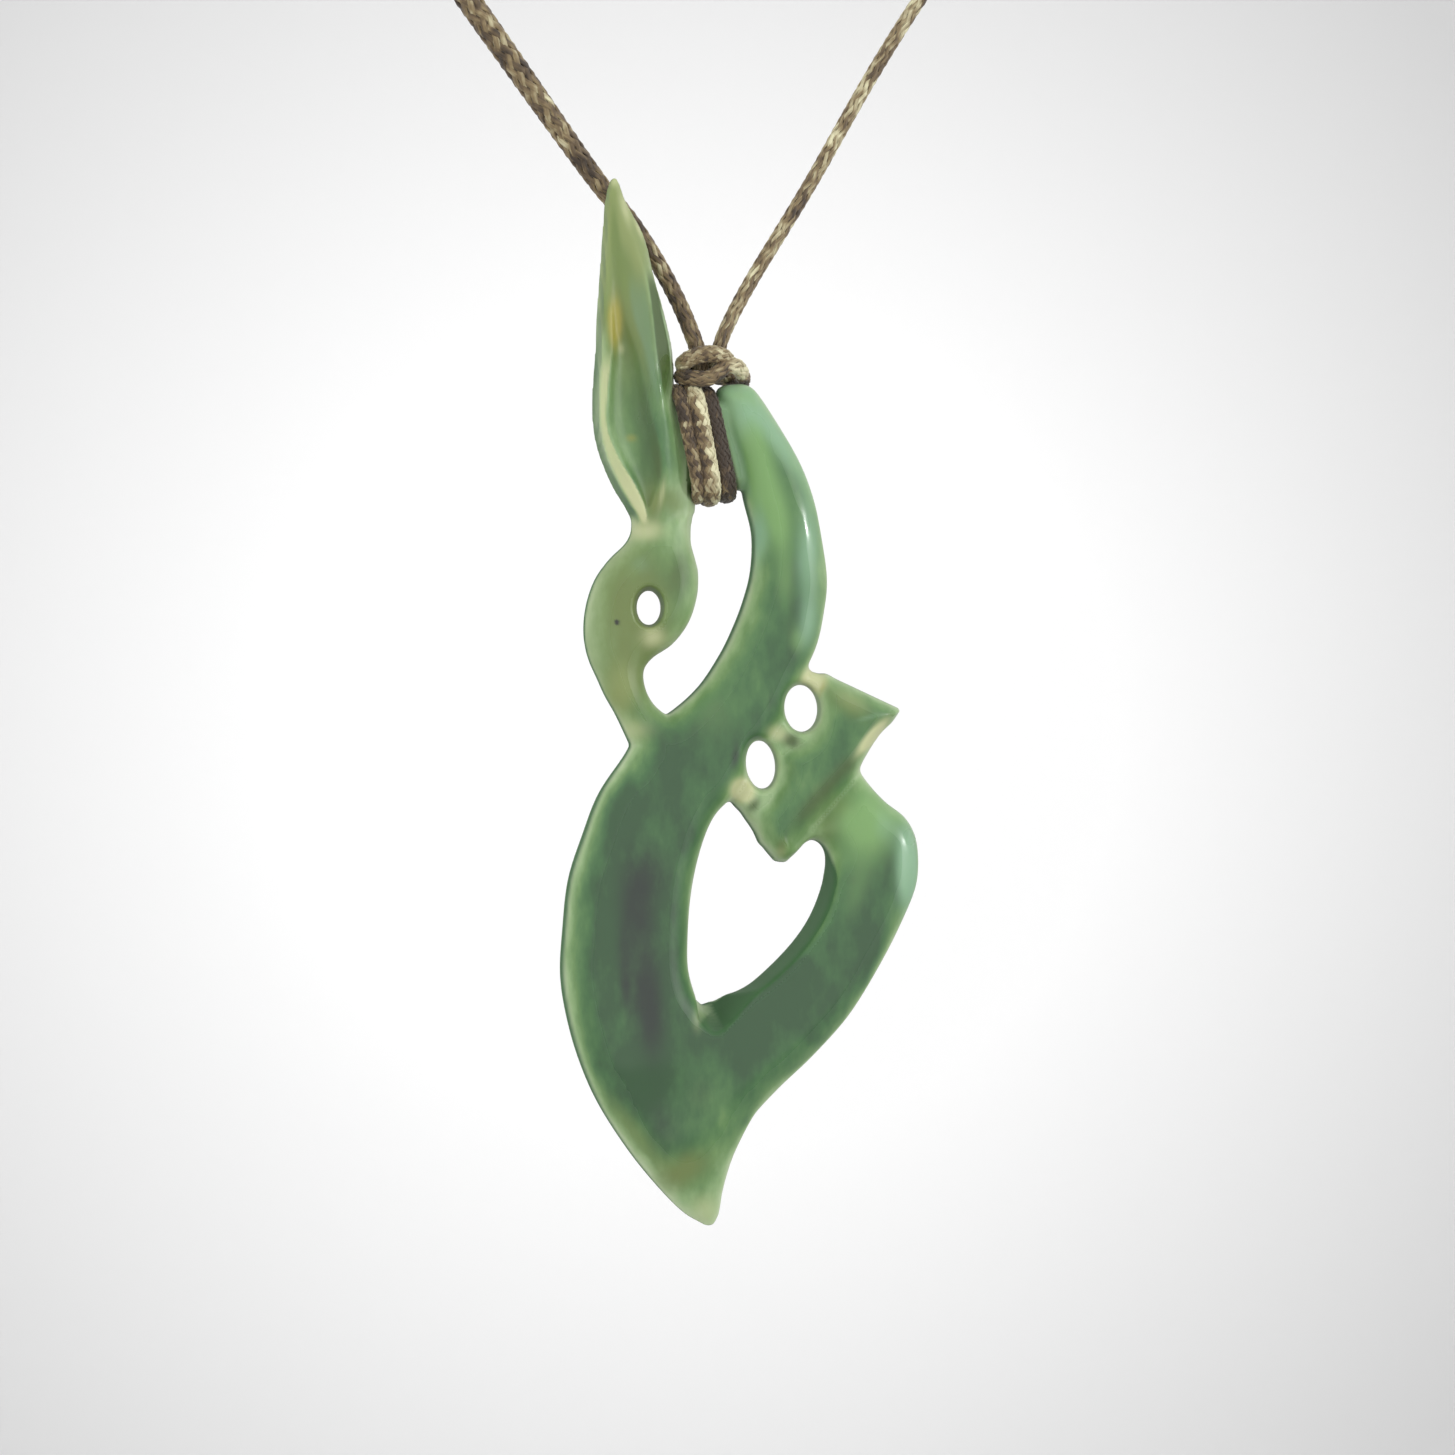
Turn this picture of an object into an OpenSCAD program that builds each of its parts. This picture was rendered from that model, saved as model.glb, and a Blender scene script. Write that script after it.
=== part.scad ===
// Carved green stone pendant, a figure of twining bands with a beaked head, lashed to a braided neck cord.
// Z is up, the front faces -Y, and the origin is where the loop of cord hangs, under its fastening.

/* [Stone] */
// Half thickness of the thickest part, low in the body
body_half = 2.8; // [2.2:0.1:3.2]
// How far the stone's middle lies in front of the hanging loop
stone_forward = 2; // [1.9:0.1:2.6]
// How full the bands' sections are: 2 is an ellipse, more is flatter with rounder edges
fullness = 2.8; // [2:0.1:4]
// Half thickness of the narrow web that the lashing goes round
web_half = 1; // [0.8:0.05:1.1]
// Half thickness of the thin bridges round the two small holes
bridge_half = 1.3; // [0.9:0.05:1.5]
// How deep the front of the beak is scooped
scoop_depth = 0.8; // [0:0.05:1]

/* [Cord] */
// Diameter of the neck cord
cord_d = 1.2; // [1:0.05:1.3]
// Height of the hanging point above the knot where the two strands part
drop = 137; // [130:1:140]
// Width of one turn of the lashing, pulled tight
turn_wide = 0.84; // [0.7:0.02:0.86]
// Depth of one turn of the lashing
turn_deep = 1; // [0.8:0.05:1.05]
// Thickness of the cord in the knot's wraps
wrap_d = 1; // [0.9:0.02:1.02]

/* [Fastening] */
// Length of the sliding knot at the back of the neck
slide_length = 28; // [20:1:30]
// Diameter of the sliding knot
slide_d = 3.8; // [3.4:0.1:4.2]
// Diameter of the way through it
slide_bore = 1.7; // [1.5:0.05:1.8]

/* [Hidden] */

clear = 0.06;
thin = 0.02;
band_sides = 16;
cord_sides = 8;
stone_green = [0.33, 0.5, 0.33];
cord_brown = [0.48, 0.38, 0.24];
wrap_brown = [0.4, 0.31, 0.19];

// Where things are in a band's rows: its left edge, its right edge and its half thickness
LEFT_X = 0;
LEFT_Z = 1;
RIGHT_X = 2;
RIGHT_Z = 3;
HALF = 4;

// The main band, from its rounded end beside the lashing down to the stone's lower tip
main_band = [
    [ 1.3,  -2.6,  2.5,  -2.5, 0.7],
    [ 0.7,  -3.2,  3.5,  -3.0, 1.6],
    [ 1.1,  -5.4,  5.2,  -5.5, 2.0],
    [ 2.1,  -7.9,  6.7,  -8.1, 2.2],
    [ 2.7, -10.6, 7.65, -10.6, 2.3],
    [ 3.3, -13.1,  8.2, -13.2, 2.4],
    [ 3.2, -15.7,  8.6, -16.1, 2.4],
    [2.65, -17.8,  8.4, -18.4, 2.4],
    [1.95, -19.6,  7.8, -21.0, 2.4],
    [ 1.0, -21.5,  6.5, -23.6, 2.4],
    [-0.5, -23.7,  5.6, -25.5, 2.4],
    [-2.4, -25.4,  4.4, -27.4, 2.5],
    [-4.7, -26.8,  3.0, -29.4, 2.6],
    [-5.85, -28.6, 1.8, -31.4, 2.7],
    [-7.6, -31.2,  0.5, -32.8, 2.8],
    [-8.75, -34.1, -0.4, -34.8, 2.8],
    [-9.75, -37.2, -1.1, -37.7, 2.8],
    [-10.15, -40.7, -1.4, -40.9, 2.8],
    [-10.3, -43.9, -1.3, -43.9, 2.8],
    [-9.8, -47.0, -0.2, -45.9, 2.8],
    [-8.9, -50.0,  3.4, -47.8, 2.7],
    [-7.6, -52.9,  5.0, -51.2, 2.6],
    [-5.6, -56.0,  3.2, -54.0, 2.3],
    [-3.6, -58.5,  1.9, -56.6, 1.9],
    [-1.75, -60.4,  1.2, -58.9, 1.4],
    [-0.5, -61.2,  0.9, -60.6, 0.8],
    [ 0.1, -61.5,  0.5, -61.4, 0.4]
];

// The lower right band, from the groove under the notched figure back into the body
return_band = [
    [ 5.6, -34.0, 10.5, -28.9, 1.4],
    [ 6.8, -34.6, 11.5, -30.4, 2.0],
    [ 7.6, -34.5, 12.8, -31.8, 2.2],
    [ 8.3, -34.9, 14.3, -33.0, 2.3],
    [ 8.7, -35.8, 15.1, -34.7, 2.4],
    [ 8.75, -37.4, 15.1, -37.5, 2.5],
    [ 8.0, -39.6, 14.0, -40.3, 2.6],
    [ 6.8, -41.5, 12.3, -43.5, 2.7],
    [ 4.9, -43.5, 10.1, -46.9, 2.8],
    [ 2.9, -45.0,  7.5, -49.7, 2.8],
    [-0.2, -46.0,  5.0, -52.0, 2.7],
    [-3.0, -47.6,  3.0, -54.2, 2.4],
    [-5.0, -50.4,  1.9, -56.4, 1.9]
];

// The head's curl, from the throat under the beak round the eye and down to the body
head_band = [
    [-5.4, -11.4, -1.0, -11.4, 0.9],
    [-5.2, -12.5, -1.2, -12.5, 1.5],
    [-5.7, -13.7, -1.1, -13.8, 1.6],
    [-6.9, -14.9, -0.8, -14.9, 1.7],
    [-7.9, -16.3, -0.6, -15.9, 1.8],
    [-8.5, -18.0, -0.7, -17.5, 1.8],
    [-8.7, -19.6, -1.3, -19.3, 1.8],
    [-8.6, -20.9, -2.45, -20.8, 1.7],
    [-8.3, -22.0, -3.9, -21.8, 1.6],
    [-7.8, -23.1, -4.5, -22.8, 1.6],
    [-7.2, -24.4, -4.2, -24.3, 1.7],
    [-6.4, -25.8, -3.2, -25.5, 1.9],
    [-5.3, -28.1, -1.1, -26.6, 2.2]
];

// The notched figure on the right, from its upper edge down to its point in the lower opening
notch_figure = [
    [ 8.4, -22.75, 14.0, -25.3, 0.5],
    [7.75, -23.6, 13.4, -26.2, 1.5],
    [ 7.6, -25.3, 12.4, -27.2, 1.9],
    [ 7.0, -27.3, 11.3, -28.9, 2.0],
    [ 5.2, -28.5, 10.6, -30.4, 2.0],
    [ 5.1, -29.9,  9.5, -31.9, 2.0],
    [ 4.2, -31.6,  8.3, -33.3, 1.9],
    [ 3.4, -32.6,  7.3, -34.4, 1.7],
    [3.75, -34.5,  6.4, -35.4, 1.2],
    [ 4.9, -36.0,  5.6, -36.1, 0.5]
];

// The beak's rows: height, left edge, bevel, rim, ridge, crest, right edge, half thickness, share of the scoop
BEAK_Z = 0;
BEAK_LEFT = 1;
BEVEL = 2;
RIM = 3;
RIDGE = 4;
CREST = 5;
BEAK_RIGHT = 6;
BEAK_HALF = 7;
SCOOP = 8;
beak_rows = [
    [ 11.7, -6.7, -6.68, -6.65, -6.6, -6.55, -6.5, 0.3, 0],
    [ 11.3, -6.9, -6.8, -6.7, -6.5, -6.4, -6.2, 0.6, 0],
    [ 10.0, -7.2, -7.0, -6.8, -6.5, -6.2, -5.7, 0.9, 0],
    [  7.6, -7.4, -7.2, -6.9, -6.4, -5.4, -4.4, 1.2, 0.05],
    [  4.8, -7.6, -7.4, -7.0, -6.3, -4.6, -3.7, 1.5, 0.15],
    [  2.0, -7.8, -7.65, -7.1, -6.0, -4.2, -2.9, 1.8, 0.45],
    [ -0.5, -7.9, -7.75, -7.05, -5.2, -3.95, -2.38, 1.9, 0.9],
    [ -3.3, -8.1, -7.95, -7.25, -4.6, -3.55, -2.24, 2.0, 1],
    [ -5.7, -8.05, -7.9, -7.2, -4.0, -3.2, -1.75, 2.0, 1],
    [ -7.7, -7.6, -7.25, -6.6, -3.55, -3.05, -1.3, 1.9, 0.9],
    [ -9.7, -6.75, -6.2, -5.4, -3.65, -2.9, -0.9, 1.7, 0.7],
    [-11.1, -5.9, -5.5, -4.7, -4.15, -3.2, -0.75, 1.6, 0.4],
    [-12.1, -5.3, -5.0, -4.5, -4.1, -3.3, -1.1, 1.5, 0],
    [-13.1, -5.1, -4.8, -4.4, -4.0, -3.3, -1.3, 1.1, 0]
];

// The beak's section, as shares of its width and of its half thickness
bevel_deep = 0.92;
crest_deep = 0.95;
flank_in = 0.25;
flank_deep = 0.5;
back_corner_in = 0.12;
back_corner_deep = 0.7;
back_flat_in = 0.35;

// The oval openings' rows: middle across, middle up, half width, half height, tilt in degrees
HOLE_X = 0;
HOLE_Z = 1;
HOLE_HALF_X = 2;
HOLE_HALF_Z = 3;
HOLE_TILT = 4;
holes = [
    [-4.1, -18.25, 0.85, 1.2, 0],
    [ 6.8, -25.25, 1.2, 1.65, -4],
    [ 3.9, -29.2, 1.05, 1.7, -7]
];
hole_bevel = 0.35;

// The thin ground between the main band and the figure, which the two small openings leave as bridges
thin_ground = [
    [ 6.6, -22.7,  8.6, -23.2],
    [ 5.2, -26.0,  8.4, -26.6],
    [ 3.8, -28.6,  6.6, -29.0],
    [ 2.4, -31.0,  4.4, -31.5],
    [ 3.5, -33.4,  4.6, -33.4]
];
ground_edge = 0.6;

// The groove between the figure and the lower right band, as its two ends
groove_ends = [[11.6, -29.0], [6.2, -35.0]];
groove_half = 0.7;
groove_floor = 1.1;

// The web under the lashing
web_top = -3.6;
web_bottom = -10;
web_left = -3;
web_right = 3.2;
web_slant = 0.8;

// The lashing's turns: where each crosses the web's top and its bottom
TURN_TOP = 0;
TURN_BOTTOM = 1;
turns = [
    [-1.66, -0.33],
    [-0.76, 0.72],
    [ 0.14, 1.8]
];
turn_bend = 8;

// The knot's wraps, as closed routes round the two strands: across, forward to back, up
upper_wrap = [
    [-1.6,  0.0, -0.9], [-1.0, -1.05, -0.8], [0.2, -1.25, -0.65], [1.4, -1.05, -0.75],
    [ 2.0,  0.0, -0.9], [ 1.4,  1.05, -0.8], [0.2,  1.25, -0.7], [-1.0,  1.05, -0.8]
];
lower_wrap = [
    [-1.6,  0.0, -1.95], [-1.0, -1.05, -2.0], [0.2, -1.25, -1.85], [1.4, -1.1, -1.85], [2.4, -0.1, -1.95],
    [ 3.1,  1.4, -2.3], [ 2.9, 2.5, -2.8], [1.7, 2.5, -2.7], [0.2, 1.5, -2.1], [-1.0, 1.05, -2.0]
];
wrap_steps = 3;

// The neck cord's route, from inside the knot up the left strand, over the top and back
cord_route = [
    [ -0.4,  -2.0, -139.2],
    [ -0.5,  -2.0, -137.6],
    [ -1.15, -1.8, -135.6],
    [ -1.95, -1.2, -133.5],
    [ -3.2,  -0.4, -130.9],
    [ -5.0,   0.0, -128.1],
    [ -8.0,   0.0, -124.5],
    [-16.5,   0.0, -112.9],
    [-30.0,   0.0,  -94.5],
    [-44.0,   0.0,  -73.5],
    [-57.0,   0.0,  -52.0],
    [-66.0,   0.0,  -34.0],
    [-69.0,   0.0,  -20.0],
    [-62.0,   0.0,   -8.0],
    [-48.0,   0.0,   -1.5],
    [-32.0,   0.0,    1.3],
    [-16.0,   0.0,    1.9],
    [  0.0,   0.0,    1.9],
    [ 16.0,   0.0,    1.9],
    [ 32.0,   0.0,    1.3],
    [ 48.0,   0.0,   -1.5],
    [ 62.0,   0.0,   -8.0],
    [ 69.0,   0.0,  -20.0],
    [ 66.0,   0.0,  -34.0],
    [ 56.0,   0.0,  -53.0],
    [ 42.0,   0.0,  -74.5],
    [ 28.0,   0.0,  -94.5],
    [ 15.1,   0.0, -113.0],
    [  7.7,  -0.4, -125.4],
    [  3.4,  -1.2, -132.2],
    [  1.3,  -1.9, -136.0],
    [  0.9,  -2.0, -137.6],
    [  0.85, -2.0, -139.2]
];
cord_steps = 2;

// Numbers of a spline through four values, at the share t of the way from b to c
function between(a, b, c, d, t) =
    b + t * ((c - a) / 2 + t * ((a - 2.5 * b + 2 * c - d / 2) + t * (1.5 * (b - c) + (d - a) / 2)));

// An open line's rows with steps points from each to the next, on a smooth curve
function smooth(rows, steps) = [
    for (i = [0 : len(rows) - 2], k = [0 : steps - 1])
        between(rows[max(i - 1, 0)], rows[i], rows[i + 1], rows[min(i + 2, len(rows) - 1)], k / steps),
    rows[len(rows) - 1]
];

// A closed line's rows in the same way
function smooth_round(rows, steps) = let (n = len(rows)) [
    for (i = [0 : n - 1], k = [0 : steps - 1])
        between(rows[(i + n - 1) % n], rows[i], rows[(i + 1) % n], rows[(i + 2) % n], k / steps)
];

function unit(v) = v / norm(v);
function signed_power(v, p) = sign(v) * pow(abs(v), p);

// The triangles that join rings of the same number of points, as a tube with two flat ends or a closed ring
function side_faces(rings, sides, closed) = [
    for (i = [0 : rings - (closed ? 1 : 2)], j = [0 : sides - 1])
        let (
            next = (i + 1) % rings,
            here = i * sides + j,
            beside = i * sides + (j + 1) % sides,
            above = next * sides + j,
            across = next * sides + (j + 1) % sides
        )
        each [[here, beside, across], [here, across, above]]
];
function end_faces(rings, sides) = [
    [for (j = [sides - 1 : -1 : 0]) j],
    [for (j = [0 : sides - 1]) (rings - 1) * sides + j]
];

// A skin over rings of points
module skin(rings, closed = false) {
    sides = len(rings[0]);
    faces = concat(
        side_faces(len(rings), sides, closed),
        closed ? [] : end_faces(len(rings), sides)
    );
    polyhedron(points = [for (ring = rings) each ring], faces = faces, convexity = 6);
}

// One band's section: a rounded box from its left edge to its right edge
function band_section(row, power) = [
    for (j = [0 : band_sides - 1])
        let (
            turn = 360 * j / band_sides,
            across = signed_power(cos(turn), power),
            depth = signed_power(sin(turn), power) * row[HALF],
            x = (row[LEFT_X] + row[RIGHT_X]) / 2 + across * (row[RIGHT_X] - row[LEFT_X]) / 2,
            z = (row[LEFT_Z] + row[RIGHT_Z]) / 2 + across * (row[RIGHT_Z] - row[LEFT_Z]) / 2
        )
        [x, depth, z]
];

module band(rows, steps = 2) {
    skin([for (row = smooth(rows, steps)) band_section(row, 2 / fullness)]);
}

// One section of the beak: a bevel, a rim, a scooped face and a ridge in front, and a rounded back
function beak_section(row) =
    let (
        left = row[BEAK_LEFT],
        right = row[BEAK_RIGHT],
        wide = right - left,
        half = row[BEAK_HALF],
        hollow = half - scoop_depth * row[SCOOP],
        z = row[BEAK_Z]
    )
    [
        [left, 0, z],
        [row[BEVEL], -bevel_deep * half, z],
        [row[RIM], -half, z],
        [(row[RIM] + row[RIDGE]) / 2, -hollow, z],
        [row[RIDGE], -half, z],
        [row[CREST], -crest_deep * half, z],
        [right - flank_in * (right - row[CREST]), -flank_deep * half, z],
        [right, 0, z],
        [right - back_corner_in * wide, back_corner_deep * half, z],
        [right - back_flat_in * wide, half, z],
        [left + back_flat_in * wide, half, z],
        [left + back_corner_in * wide, back_corner_deep * half, z]
    ];

module beak() {
    skin([for (row = smooth(beak_rows, 2)) beak_section(row)]);
}

// The ends of one row of the thin ground, as two small flattened balls
module ground_ends(row) {
    for (side = [LEFT_X, RIGHT_X])
        translate([row[side], 0, row[side + 1]])
            scale([1, bridge_half / ground_edge, 1])
                sphere(r = ground_edge, $fn = 20);
}

module stone_bridges() {
    for (i = [0 : len(thin_ground) - 2])
        hull() {
            ground_ends(thin_ground[i]);
            ground_ends(thin_ground[i + 1]);
        }
}

// The web that the lashing goes round, with its upper and lower edges fully rounded
module web() {
    hull()
        for (edge = [[0, web_top - web_half], [web_slant, web_bottom + web_half]])
            translate([web_left + edge[0], 0, edge[1]])
                rotate([0, 90, 0])
                    cylinder(r = web_half, h = web_right - web_left - web_slant, $fn = 24);
}

// A cutter for an oval opening, widened towards both faces
module oval_cutter(hole) {
    deep = body_half + 1;
    translate([hole[HOLE_X], 0, hole[HOLE_Z]])
        rotate([0, hole[HOLE_TILT], 0]) {
            hull()
                for (face = [-1, 1])
                    translate([0, face * deep, 0])
                        oval(hole[HOLE_HALF_X], hole[HOLE_HALF_Z]);
            for (face = [-1, 1])
                hull() {
                    translate([0, face * bridge_half / 2, 0])
                        oval(hole[HOLE_HALF_X], hole[HOLE_HALF_Z]);
                    translate([0, face * deep, 0])
                        oval(hole[HOLE_HALF_X] + 2 * hole_bevel, hole[HOLE_HALF_Z] + 2 * hole_bevel);
                }
        }
}

module oval(half_x, half_z) {
    rotate([90, 0, 0])
        linear_extrude(thin, center = true)
            scale([half_x, half_z])
                circle(r = 1, $fn = 28);
}

// A wedge that cuts the groove under the figure into one face
module groove_cutter(face) {
    hull()
        for (end = groove_ends) {
            translate([end[0], face * groove_floor, end[1]])
                cube(thin, center = true);
            for (side = [-1, 1])
                translate([end[0] + side * groove_half, face * (body_half + 1), end[1] + side * groove_half])
                    cube(thin, center = true);
        }
}

module pendant() {
    color(stone_green)
        translate([0, -stone_forward, -drop])
            difference() {
                union() {
                    band(main_band);
                    band(return_band);
                    band(head_band);
                    band(notch_figure);
                    beak();
                    web();
                    stone_bridges();
                }
                for (hole = holes)
                    oval_cutter(hole);
                for (face = [-1, 1])
                    groove_cutter(face);
            }
}

// A tube along a line, flattened along the side direction
module tube(line, wide, deep, side, sides, closed) {
    last = len(line) - 1;
    n = len(line);
    skin([
        for (i = [0 : last])
            let (
                before = closed ? line[(i + n - 1) % n] : line[max(i - 1, 0)],
                after = closed ? line[(i + 1) % n] : line[min(i + 1, last)],
                along = unit(after - before),
                out = unit(cross(along, side)),
                flat = cross(out, along)
            )
            [
                for (j = [0 : sides - 1])
                    let (turn = 360 * (j + 0.5) / sides)
                    line[i] + cos(turn) * deep / 2 * out + sin(turn) * wide / 2 * flat
            ]
    ], closed);
}

// One turn of the lashing's route: down the front of the web, under it, up the back and over
function turn_route(turn) =
    let (
        reach = web_half + clear + turn_deep / 2,
        high = web_top + clear + turn_deep / 2,
        low = web_bottom - clear - turn_deep / 2,
        lean = (turn[TURN_TOP] - turn[TURN_BOTTOM]) / (web_top - web_bottom)
    )
    [
        for (end = [1, -1], k = [0 : turn_bend])
            let (
                angle = 180 * k / turn_bend + (end > 0 ? 0 : 180),
                z = (end > 0 ? high - reach : low + reach) + reach * sin(angle),
                y = reach * cos(angle)
            )
            [turn[TURN_TOP] + (z - web_top) * lean, y, z]
    ];

module lashing_turn(number) {
    turn = turns[number];
    lean = unit([web_top - web_bottom, 0, turn[TURN_BOTTOM] - turn[TURN_TOP]]);
    color(cord_brown)
        translate([0, -stone_forward, -drop])
            tube(turn_route(turn), turn_wide, turn_deep, lean, cord_sides, true);
}

module lashing_turn_1() { lashing_turn(0); }
module lashing_turn_2() { lashing_turn(1); }
module lashing_turn_3() { lashing_turn(2); }

module knot_wrap(route) {
    color(wrap_brown)
        translate([0, -stone_forward, -drop])
            tube(smooth_round(route, wrap_steps), wrap_d, wrap_d, [0, 0, 1], cord_sides, true);
}

module knot_wrap_1() { knot_wrap(upper_wrap); }
module knot_wrap_2() { knot_wrap(lower_wrap); }

module cord() {
    color(cord_brown)
        tube(smooth(cord_route, cord_steps), cord_d, cord_d, [0, 1, 0], cord_sides, false);
}

// The sliding knot: a plain barrel with rounded ends, whose underside is where the loop hangs
module slide_knot() {
    radius = slide_d / 2;
    round_end = radius - slide_bore / 2;
    color(wrap_brown)
        translate([0, 0, radius])
            rotate([0, 90, 0])
                rotate_extrude($fn = 48)
                    polygon([
                        [slide_bore / 2, -slide_length / 2],
                        [radius - round_end / 2, -slide_length / 2],
                        [radius, -slide_length / 2 + round_end],
                        [radius, slide_length / 2 - round_end],
                        [radius - round_end / 2, slide_length / 2],
                        [slide_bore / 2, slide_length / 2]
                    ]);
}

pendant();
lashing_turn_1();
lashing_turn_2();
lashing_turn_3();
knot_wrap_1();
knot_wrap_2();
cord();
slide_knot();
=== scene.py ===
"""Dresses the green stone pendant: the polished carving, its lashing, its knot and its braided neck cord."""

import math
from functools import partial

import bpy
import numpy as np
from bpy.props import FloatProperty, IntProperty, PointerProperty
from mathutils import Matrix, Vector


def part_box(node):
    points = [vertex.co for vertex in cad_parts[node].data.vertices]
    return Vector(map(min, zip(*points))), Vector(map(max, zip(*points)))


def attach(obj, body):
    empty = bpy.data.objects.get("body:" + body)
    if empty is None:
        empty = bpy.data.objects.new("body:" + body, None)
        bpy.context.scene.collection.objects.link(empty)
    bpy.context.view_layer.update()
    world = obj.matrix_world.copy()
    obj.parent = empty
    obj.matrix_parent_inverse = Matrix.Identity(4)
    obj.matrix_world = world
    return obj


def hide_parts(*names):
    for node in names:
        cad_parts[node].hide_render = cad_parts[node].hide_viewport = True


bl_info = {
    "name": "Green Stone Pendant",
    "version": (1, 0, 0),
    "blender": (4, 5, 0),
    "location": "3D View > Sidebar > Pendant",
    "description": "Builds a carved stone pendant on a braided cord round its packed solids",
    "category": "Add Mesh",
}

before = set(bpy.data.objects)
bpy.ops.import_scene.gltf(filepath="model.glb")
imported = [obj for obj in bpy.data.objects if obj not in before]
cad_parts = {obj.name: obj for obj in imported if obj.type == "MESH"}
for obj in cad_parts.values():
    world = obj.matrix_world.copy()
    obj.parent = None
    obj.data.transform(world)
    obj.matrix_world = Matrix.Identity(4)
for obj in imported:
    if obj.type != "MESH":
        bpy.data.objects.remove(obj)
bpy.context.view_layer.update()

# Millimetres to metres, and the place of the stone's own frame, whose origin is under the knot
MM = 0.001
STONE_PLACE = np.array([0.0, -2.0, -137.0])

# A band's rows: left edge x and z, right edge x and z, half thickness
MAIN_BAND = [
    (1.3, -2.6, 2.5, -2.5, 0.7),
    (0.7, -3.2, 3.5, -3.0, 1.6),
    (1.1, -5.4, 5.2, -5.5, 2.0),
    (2.1, -7.9, 6.7, -8.1, 2.2),
    (2.7, -10.6, 7.65, -10.6, 2.3),
    (3.3, -13.1, 8.2, -13.2, 2.4),
    (3.2, -15.7, 8.6, -16.1, 2.4),
    (2.65, -17.8, 8.4, -18.4, 2.4),
    (1.95, -19.6, 7.8, -21.0, 2.4),
    (1.0, -21.5, 6.5, -23.6, 2.4),
    (-0.5, -23.7, 5.6, -25.5, 2.4),
    (-2.4, -25.4, 4.4, -27.4, 2.5),
    (-4.7, -26.8, 3.0, -29.4, 2.6),
    (-5.85, -28.6, 1.8, -31.4, 2.7),
    (-7.6, -31.2, 0.5, -32.8, 2.8),
    (-8.75, -34.1, -0.4, -34.8, 2.8),
    (-9.75, -37.2, -1.1, -37.7, 2.8),
    (-10.15, -40.7, -1.4, -40.9, 2.8),
    (-10.3, -43.9, -1.3, -43.9, 2.8),
    (-9.8, -47.0, -0.2, -45.9, 2.8),
    (-8.9, -50.0, 3.4, -47.8, 2.7),
    (-7.6, -52.9, 5.0, -51.2, 2.6),
    (-5.6, -56.0, 3.2, -54.0, 2.3),
    (-3.6, -58.5, 1.9, -56.6, 1.9),
    (-1.75, -60.4, 1.2, -58.9, 1.4),
    (-0.5, -61.2, 0.9, -60.6, 0.8),
    (0.1, -61.5, 0.5, -61.4, 0.4),
]
RETURN_BAND = [
    (5.6, -34.0, 10.5, -28.9, 1.4),
    (6.8, -34.6, 11.5, -30.4, 2.0),
    (7.6, -34.5, 12.8, -31.8, 2.2),
    (8.3, -34.9, 14.3, -33.0, 2.3),
    (8.7, -35.8, 15.1, -34.7, 2.4),
    (8.75, -37.4, 15.1, -37.5, 2.5),
    (8.0, -39.6, 14.0, -40.3, 2.6),
    (6.8, -41.5, 12.3, -43.5, 2.7),
    (4.9, -43.5, 10.1, -46.9, 2.8),
    (2.9, -45.0, 7.5, -49.7, 2.8),
    (-0.2, -46.0, 5.0, -52.0, 2.7),
    (-3.0, -47.6, 3.0, -54.2, 2.4),
    (-5.0, -50.4, 1.9, -56.4, 1.9),
]
HEAD_BAND = [
    (-5.4, -11.4, -1.0, -11.4, 0.9),
    (-5.2, -12.5, -1.2, -12.5, 1.5),
    (-5.7, -13.7, -1.1, -13.8, 1.6),
    (-6.9, -14.9, -0.8, -14.9, 1.7),
    (-7.9, -16.3, -0.6, -15.9, 1.8),
    (-8.5, -18.0, -0.7, -17.5, 1.8),
    (-8.7, -19.6, -1.3, -19.3, 1.8),
    (-8.6, -20.9, -2.45, -20.8, 1.7),
    (-8.3, -22.0, -3.9, -21.8, 1.6),
    (-7.8, -23.1, -4.5, -22.8, 1.6),
    (-7.2, -24.4, -4.2, -24.3, 1.7),
    (-6.4, -25.8, -3.2, -25.5, 1.9),
    (-5.3, -28.1, -1.1, -26.6, 2.2),
]

# The same for the notched figure and the thin ground behind it, without a thickness
NOTCH_FIGURE = [
    (8.4, -22.75, 14.0, -25.3),
    (7.75, -23.6, 13.4, -26.2),
    (7.6, -25.3, 12.4, -27.2),
    (7.0, -27.3, 11.3, -28.9),
    (5.2, -28.5, 10.6, -30.4),
    (5.1, -29.9, 9.5, -31.9),
    (4.2, -31.6, 8.3, -33.3),
    (3.4, -32.6, 7.3, -34.4),
    (3.75, -34.5, 6.4, -35.4),
    (4.9, -36.0, 5.6, -36.1),
]
THIN_GROUND = [
    (6.2, -22.2, 8.9, -23.0),
    (4.8, -26.0, 8.6, -26.8),
    (3.2, -28.8, 7.0, -29.2),
    (1.8, -31.5, 4.8, -32.2),
    (2.5, -32.7, 5.2, -33.0),
    (3.4, -34.0, 5.2, -34.3),
    (3.8, -34.8, 5.2, -34.9),
]

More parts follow.
